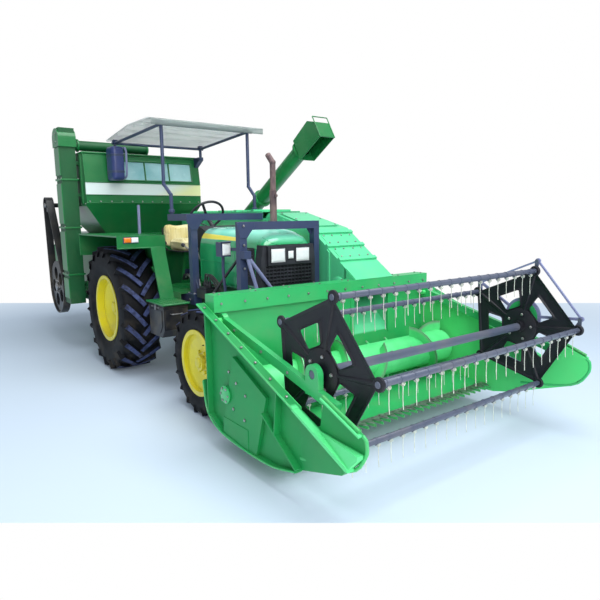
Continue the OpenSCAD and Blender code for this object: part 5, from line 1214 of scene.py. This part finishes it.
blade = np.array([(3.432, -0.036), (3.462, -0.036), (3.520, -0.008),
                  (3.520, 0.008), (3.462, 0.036), (3.432, 0.036)])
knife = [plate(blade + (0, y), KNIFE_Z, 0.2115, 2) for y in blade_y]
knife += [block((3.422, y - 0.016, 0.2070), (3.470, y + 0.016, 0.2170)) for y in blade_y[1::4]]
knife += [block((3.424, -1.0, 0.207), (3.440, 1.34, KNIFE_TOP)),
          bolts([(3.432, y + d, KNIFE_TOP) for y in blade_y for d in (-0.018, 0.018)],
                (0, 0, 1), 0.010, 0.004)]
piece("knife_blades", "header", steel, knife)
piece("divider_rims", "header", header_green,
      [pipe([(x, y, z) for x, z in NOSE], 0.011, 10, 4) for y in (LEFT_WALL + 0.006, RIGHT_WALL - 0.006)])
piece("divider_noses", "header", guard_green,
      [pipe(line((4.03, y, 0.752), (4.325, y, 0.640), 4), 0.011, 12)
       for y in (LEFT_WALL + 0.022, RIGHT_WALL - 0.022)])


# Auger: a rolled tube with two opposed screw flights that carry the crop to the feeder's mouth, where
# round fingers draw it in; worn bright along the flights' edges.
AUGER_TUBE, AUGER_RIM, PITCH = 0.146, 0.240, 0.44
FIRST_FINGER, FINGER_STEP = 0.445, 0.08


def flight(start, end, hand, phase):
    """Screw strip from tube to rim: its angle grows with reach along the axis, a full turn for each pitch."""
    turns = abs(end - start) / PITCH
    t = np.linspace(0, 1, int(turns * 40) + 1)[:, None]
    angle = np.deg2rad(phase) + hand * 2 * np.pi * turns * t
    radius = np.array([AUGER_TUBE, AUGER_RIM, AUGER_RIM, AUGER_TUBE])
    thick = np.array([-0.0035, -0.002, 0.002, 0.0035])
    spots = np.stack([radius * np.cos(angle), start + (end - start) * t + thick, radius * np.sin(angle)], -1)
    ends = np.arange(4)[None]
    return spots + AUGER, [quads(len(t), 4, wrap_cols=True), ends[:, ::-1], (len(t) - 1) * 4 + ends]


auger_paint, auger_shader, auger_place = finish("worn_auger_paint", Specular_IOR_Level=0.5)
offset = auger_place.node("VectorMath", {"operation": "SUBTRACT"}, {0: auger_place, 1: tuple(AXLE + AUGER)})
from_axis = (offset.axis("X") * offset.axis("X") + offset.axis("Z") * offset.axis("Z")) ** 0.5
bright = (from_axis.ramp(0.205, 0.236) * (0.35 + auger_place.noise(9.0, 5.0))).clip()
auger_tone = auger_place.noise(3.0, 5.0).ramp(0.3, 0.7).blend(srgb(62, 186, 104), srgb(96, 222, 138))
bright.blend(auger_tone, srgb(176, 178, 176)).to(auger_shader.inputs["Base Color"])
bright.to(auger_shader.inputs["Metallic"])
(0.34 + 0.15 * auger_place.noise(30.0)).to(auger_shader.inputs["Roughness"])
tube = [(0.030, -0.988), (0.146, -0.988), (0.150, -0.984), (0.150, -0.6), (0.150, -0.2), (0.150, 0.4),
        (0.150, 0.9), (0.150, 1.324), (0.146, 1.328), (0.030, 1.328)]
screw = [turned(tube, AUGER, (0, 1, 0), 56), flight(-0.98, 0.405, 1, 0), flight(0.88, 1.32, -1, 90)]
finger = [(0.016, 0.148), (0.016, 0.158), (0.009, 0.162), (0.009, 0.232), (0.005, 0.239)]
for k in range(6):
    angle = np.deg2rad(120 * k + 30)
    root = AUGER + (0, FIRST_FINGER + FINGER_STEP * k, 0)
    screw.append(turned(finger, root, (np.cos(angle), 0, np.sin(angle)), 12))
piece("auger_screw", "auger", auger_paint, screw, replaces=["header_auger"], sharp=0.7)


# Lift cylinders: two black barrels under the tractor, each with a gland nut at its mouth and a rigid
# oil pipe along its top, and rods of ground chrome that push the header up.
BARREL_X, BARREL_Y, BARREL_Z = 1.50, 0.25, 0.42
RAM = np.array([1.12, 0.0, -0.02]) / np.hypot(1.12, 0.02)
OIL_PIPE = [(0.10, 0.030), (0.10, 0.052), (0.16, 0.056), (0.60, 0.056), (0.64, 0.050), (0.64, 0.030)]
chrome, chrome_shader, chrome_place, _ = mottled("ground_chrome", srgb(178, 180, 184), srgb(222, 224, 228),
                                                 (90.0, 2.0, (0.1, 1, 1)), (0.2, 0.8), Metallic=1.0)
(0.12 + 0.16 * chrome_place.noise(50.0)).to(chrome_shader.inputs["Roughness"])
dress(chrome, "lift_rods")
dress(black_enamel, "lift_barrels")
gland = [(0.040, -0.028), (0.044, -0.026), (0.044, -0.004), (0.040, 0.0)]
barrels = [np.array([BARREL_X, s * BARREL_Y, BARREL_Z]) for s in (-1, 1)]
piece("barrel_glands", "lift_barrel", black_enamel,
      [turned(gland, foot + RAM * 0.69, RAM, 6, ring=True) for foot in barrels]
      + [pipe([foot + RAM * along + (0, 0, up) for along, up in OIL_PIPE], 0.007, 8) for foot in barrels])


# Reel: two pressed five-armed spiders on a centre tube carry five bars with sprung wire tines; an
# offset ring at the left end keeps every tine upright through the bars' cranks.
REEL, SPIDER, FIRST_BAR, BARS = np.array([3.842, 0.0, 0.819]), 0.48, 5.1, 5
CRANK, CRANK_HALF, TINES, FIRST_TINE, TINE_STEP, COIL = 0.08, 0.014, 19, -0.826, 0.11067, 0.0095
SPIDER_Y, COLLAR_Y, SPIDER_TURN, FIFTH = (-0.900, 1.226), (-0.864, 1.206), np.deg2rad(41.1), np.deg2rad(36)
reel_navy = paint("reel_navy_enamel", srgb(10, 12, 24), dust=0.06, gloss=0.5, chips=0.15, coat=0.03)
bar_grey = paint("bar_grey_enamel", srgb(78, 85, 104), dust=0.3, gloss=0.3)
dress(header_green, "reel_arms")
dress(lavender, "reel_ring")
wire, wire_shader, _, wire_drift = mottled(
    "sprung_wire", srgb(176, 180, 172), srgb(222, 224, 214), (24.0, 4.0), (0.3, 0.72), Specular_IOR_Level=0.5)
(0.2 + 0.35 * wire_drift).to(wire_shader.inputs["Metallic"])
(0.34 + 0.2 * wire_drift).to(wire_shader.inputs["Roughness"])
spin = np.linspace(0, 5 * np.pi, 31)
coil = np.stack([COIL * np.cos(spin), 0.0052 * spin / np.pi - 0.013, COIL * np.sin(spin) - 0.031], 1)
leg = eased([(-COIL, 0.013, -0.031), (-COIL, 0.013, -0.08), (-0.0085, 0.013, -0.13),
             (-0.004, 0.013, -0.184)], 4)
tine = pipe(np.vstack([[(COIL, -0.013, -0.015)], coil, leg[1:]]), 0.0028, 6)
tine_y = FIRST_TINE + TINE_STEP * np.arange(TINES)
along_bar = np.stack([0 * tine_y, tine_y, 0 * tine_y], 1)
bar_tube = [(0.006, -0.912), (0.018, -0.912), (0.020, -0.909), (0.020, 0.2), (0.020, 1.250), (0.018, 1.253),
            (0.006, 1.253)]
crank_pin = [(0.010, 1.244), (0.010, 1.278), (0.014, 1.279), (0.014, 1.284)]
half_turn = np.linspace(0, np.pi, 13)
half_round = CRANK_HALF * np.stack([np.cos(half_turn), np.sin(half_turn)], 1)
crank = np.vstack([half_round + (0, CRANK), -half_round])
bar_angles = np.deg2rad(FIRST_BAR + 72 * np.arange(BARS))
spokes = np.stack([np.cos(bar_angles), 0 * bar_angles, np.sin(bar_angles)], 1)
for number, bar in enumerate(REEL + SPIDER * spokes, 1):
    body = f"tines_{number}"
    piece(f"tine_bar_{number}_tube", body, bar_grey,
          [turned(bar_tube, bar, (0, 1, 0), 24), plate(crank + bar[[0, 2]], 1.243, 1.253),
           turned(crank_pin, bar + (0, 0, CRANK), (0, 1, 0), 16)], replaces=[f"tine_bar_{number}"])
    at = bar + along_bar
    piece(f"tines_{number}_wire", body, wire,
          [copies(tine, at[:, None] + tine[0].reshape(-1, 3))])
    clips = at - (0, 0.022, 0)
    piece(f"tine_clips_{number}", body, bar_grey,
          [turned(hoop(0.019, 0.0225, 0.005), clip, (0, 1, 0), 16, ring=True) for clip in clips]
          + [bolts(clips - (0, 0, 0.0215), (0, 0, -1), 0.013, 0.007)])
fifth = np.array([(0.10, -1), (SPIDER, -1), (SPIDER, 1), (0.10, 1)])
fifth = np.stack([fifth[:, 0] * np.cos(FIFTH), fifth[:, 0] * fifth[:, 1] * np.sin(FIFTH)], 1)
window = SPIDER * np.array([(0.33, -0.14), (0.60, -0.21), (0.60, 0.21), (0.33, 0.14)])
middle = SPIDER * np.array([0.465, 0.0])


def reach_to(outline, ways, power):
    """Distance from the window's middle to a convex outline along each way: the norm of the sides' inverse
    distances, where a finite power rounds the corners."""
    side = np.roll(outline, -1, 0) - outline
    normal = np.stack([side[:, 1], -side[:, 0]], 1) / np.linalg.norm(side, axis=1, keepdims=True)
    high = ((outline - middle) * normal).sum(1)
    return 1 / np.linalg.norm(np.maximum(ways @ normal.T, 0) / high, power, axis=1)


def pressed_spider(y):
    """Five pressed fifths: rows run from a window's rounded edge to the fifth's outline, with lips at both
    edges, and the back follows the front at the sheet's thickness."""
    around = np.sort(np.concatenate([np.linspace(-np.pi, np.pi, 56, endpoint=False),
                                     np.arctan2(*(fifth - middle).T[::-1])]))
    ways = np.stack([np.cos(around), np.sin(around)], 1)
    share = np.array([0.0, 0.05, 0.14, 0.30, 0.55, 0.78, 0.88, 1.0])[:, None]
    lip = np.array([-0.010, -0.010, -0.001, 0.0, 0.0, -0.001, -0.009, -0.010])[:, None]
    span = (1 - share) * reach_to(window, ways, 12) + share * reach_to(fifth, ways, np.inf)
    u, v = np.moveaxis(middle + span[..., None] * ways, -1, 0)
    c, s = np.cos(SPIDER_TURN), np.sin(SPIDER_TURN)
    x, z = REEL[0] + u * c - v * s, REEL[2] + u * s + v * c
    face = np.stack([x, y + 0.004 + lip + 0 * x, z], -1)
    sheet = np.concatenate([face, face[::-1] + (0, 0.006, 0)])
    turns = np.arange(BARS) * 2 * np.pi / BARS
    return repeated((sheet, [quads(*sheet.shape[:2], True, True)]), turns, REEL)


boss = [(0.0215, -0.009), (0.036, -0.009), (0.042, -0.004), (0.042, 0.010), (0.036, 0.014), (0.0215, 0.014)]
plate_hub = [(0.030, -0.008), (0.138, -0.008), (0.150, -0.002), (0.150, 0.012), (0.138, 0.016),
             (0.030, 0.016)]
spiders, spider_spots = [], []
for y in SPIDER_Y:
    centre = REEL + (0, y, 0)
    spiders += [pressed_spider(y), turned(plate_hub, centre, (0, 1, 0), 40, ring=True)]
    spiders += [turned(boss, centre + way * SPIDER, (0, 1, 0), 24, ring=True) for way in spokes]
    spider_spots.append(centre + 0.105 * spokes - (0, 0.008, 0))
piece("reel_spiders_pressed", "reel", reel_navy, spiders, replaces=["reel_spiders"])
piece("reel_bolts", "reel", steel, [bolts(np.vstack(spider_spots), (0, -1, 0), 0.022, 0.012)])
tube = [(0.018, -0.973), (0.0278, -0.971), (0.0278, -0.900), (0.031, -0.899), (0.031, 0.2), (0.031, 1.239),
        (0.0278, 1.240), (0.0278, 1.341), (0.018, 1.343)]
piece("reel_tube", "reel", bar_grey, [turned(tube, REEL, (0, 1, 0), 40)])
piece("reel_collars", "reel", reel_navy,
      [turned(hoop(0.0295, 0.048, 0.020), REEL + (0, y, 0), (0, 1, 0), 32, ring=True) for y in COLLAR_Y])
piece("arm_bolts", "arms", steel,
      [bolts([(x, y, 0.985 - 0.2477 * (x - 2.76)) for x in (2.95, 3.30, 3.60)], (0, s, 0), 0.02, 0.008)
       for y, s in ((-0.976, -1), (1.346, 1))])
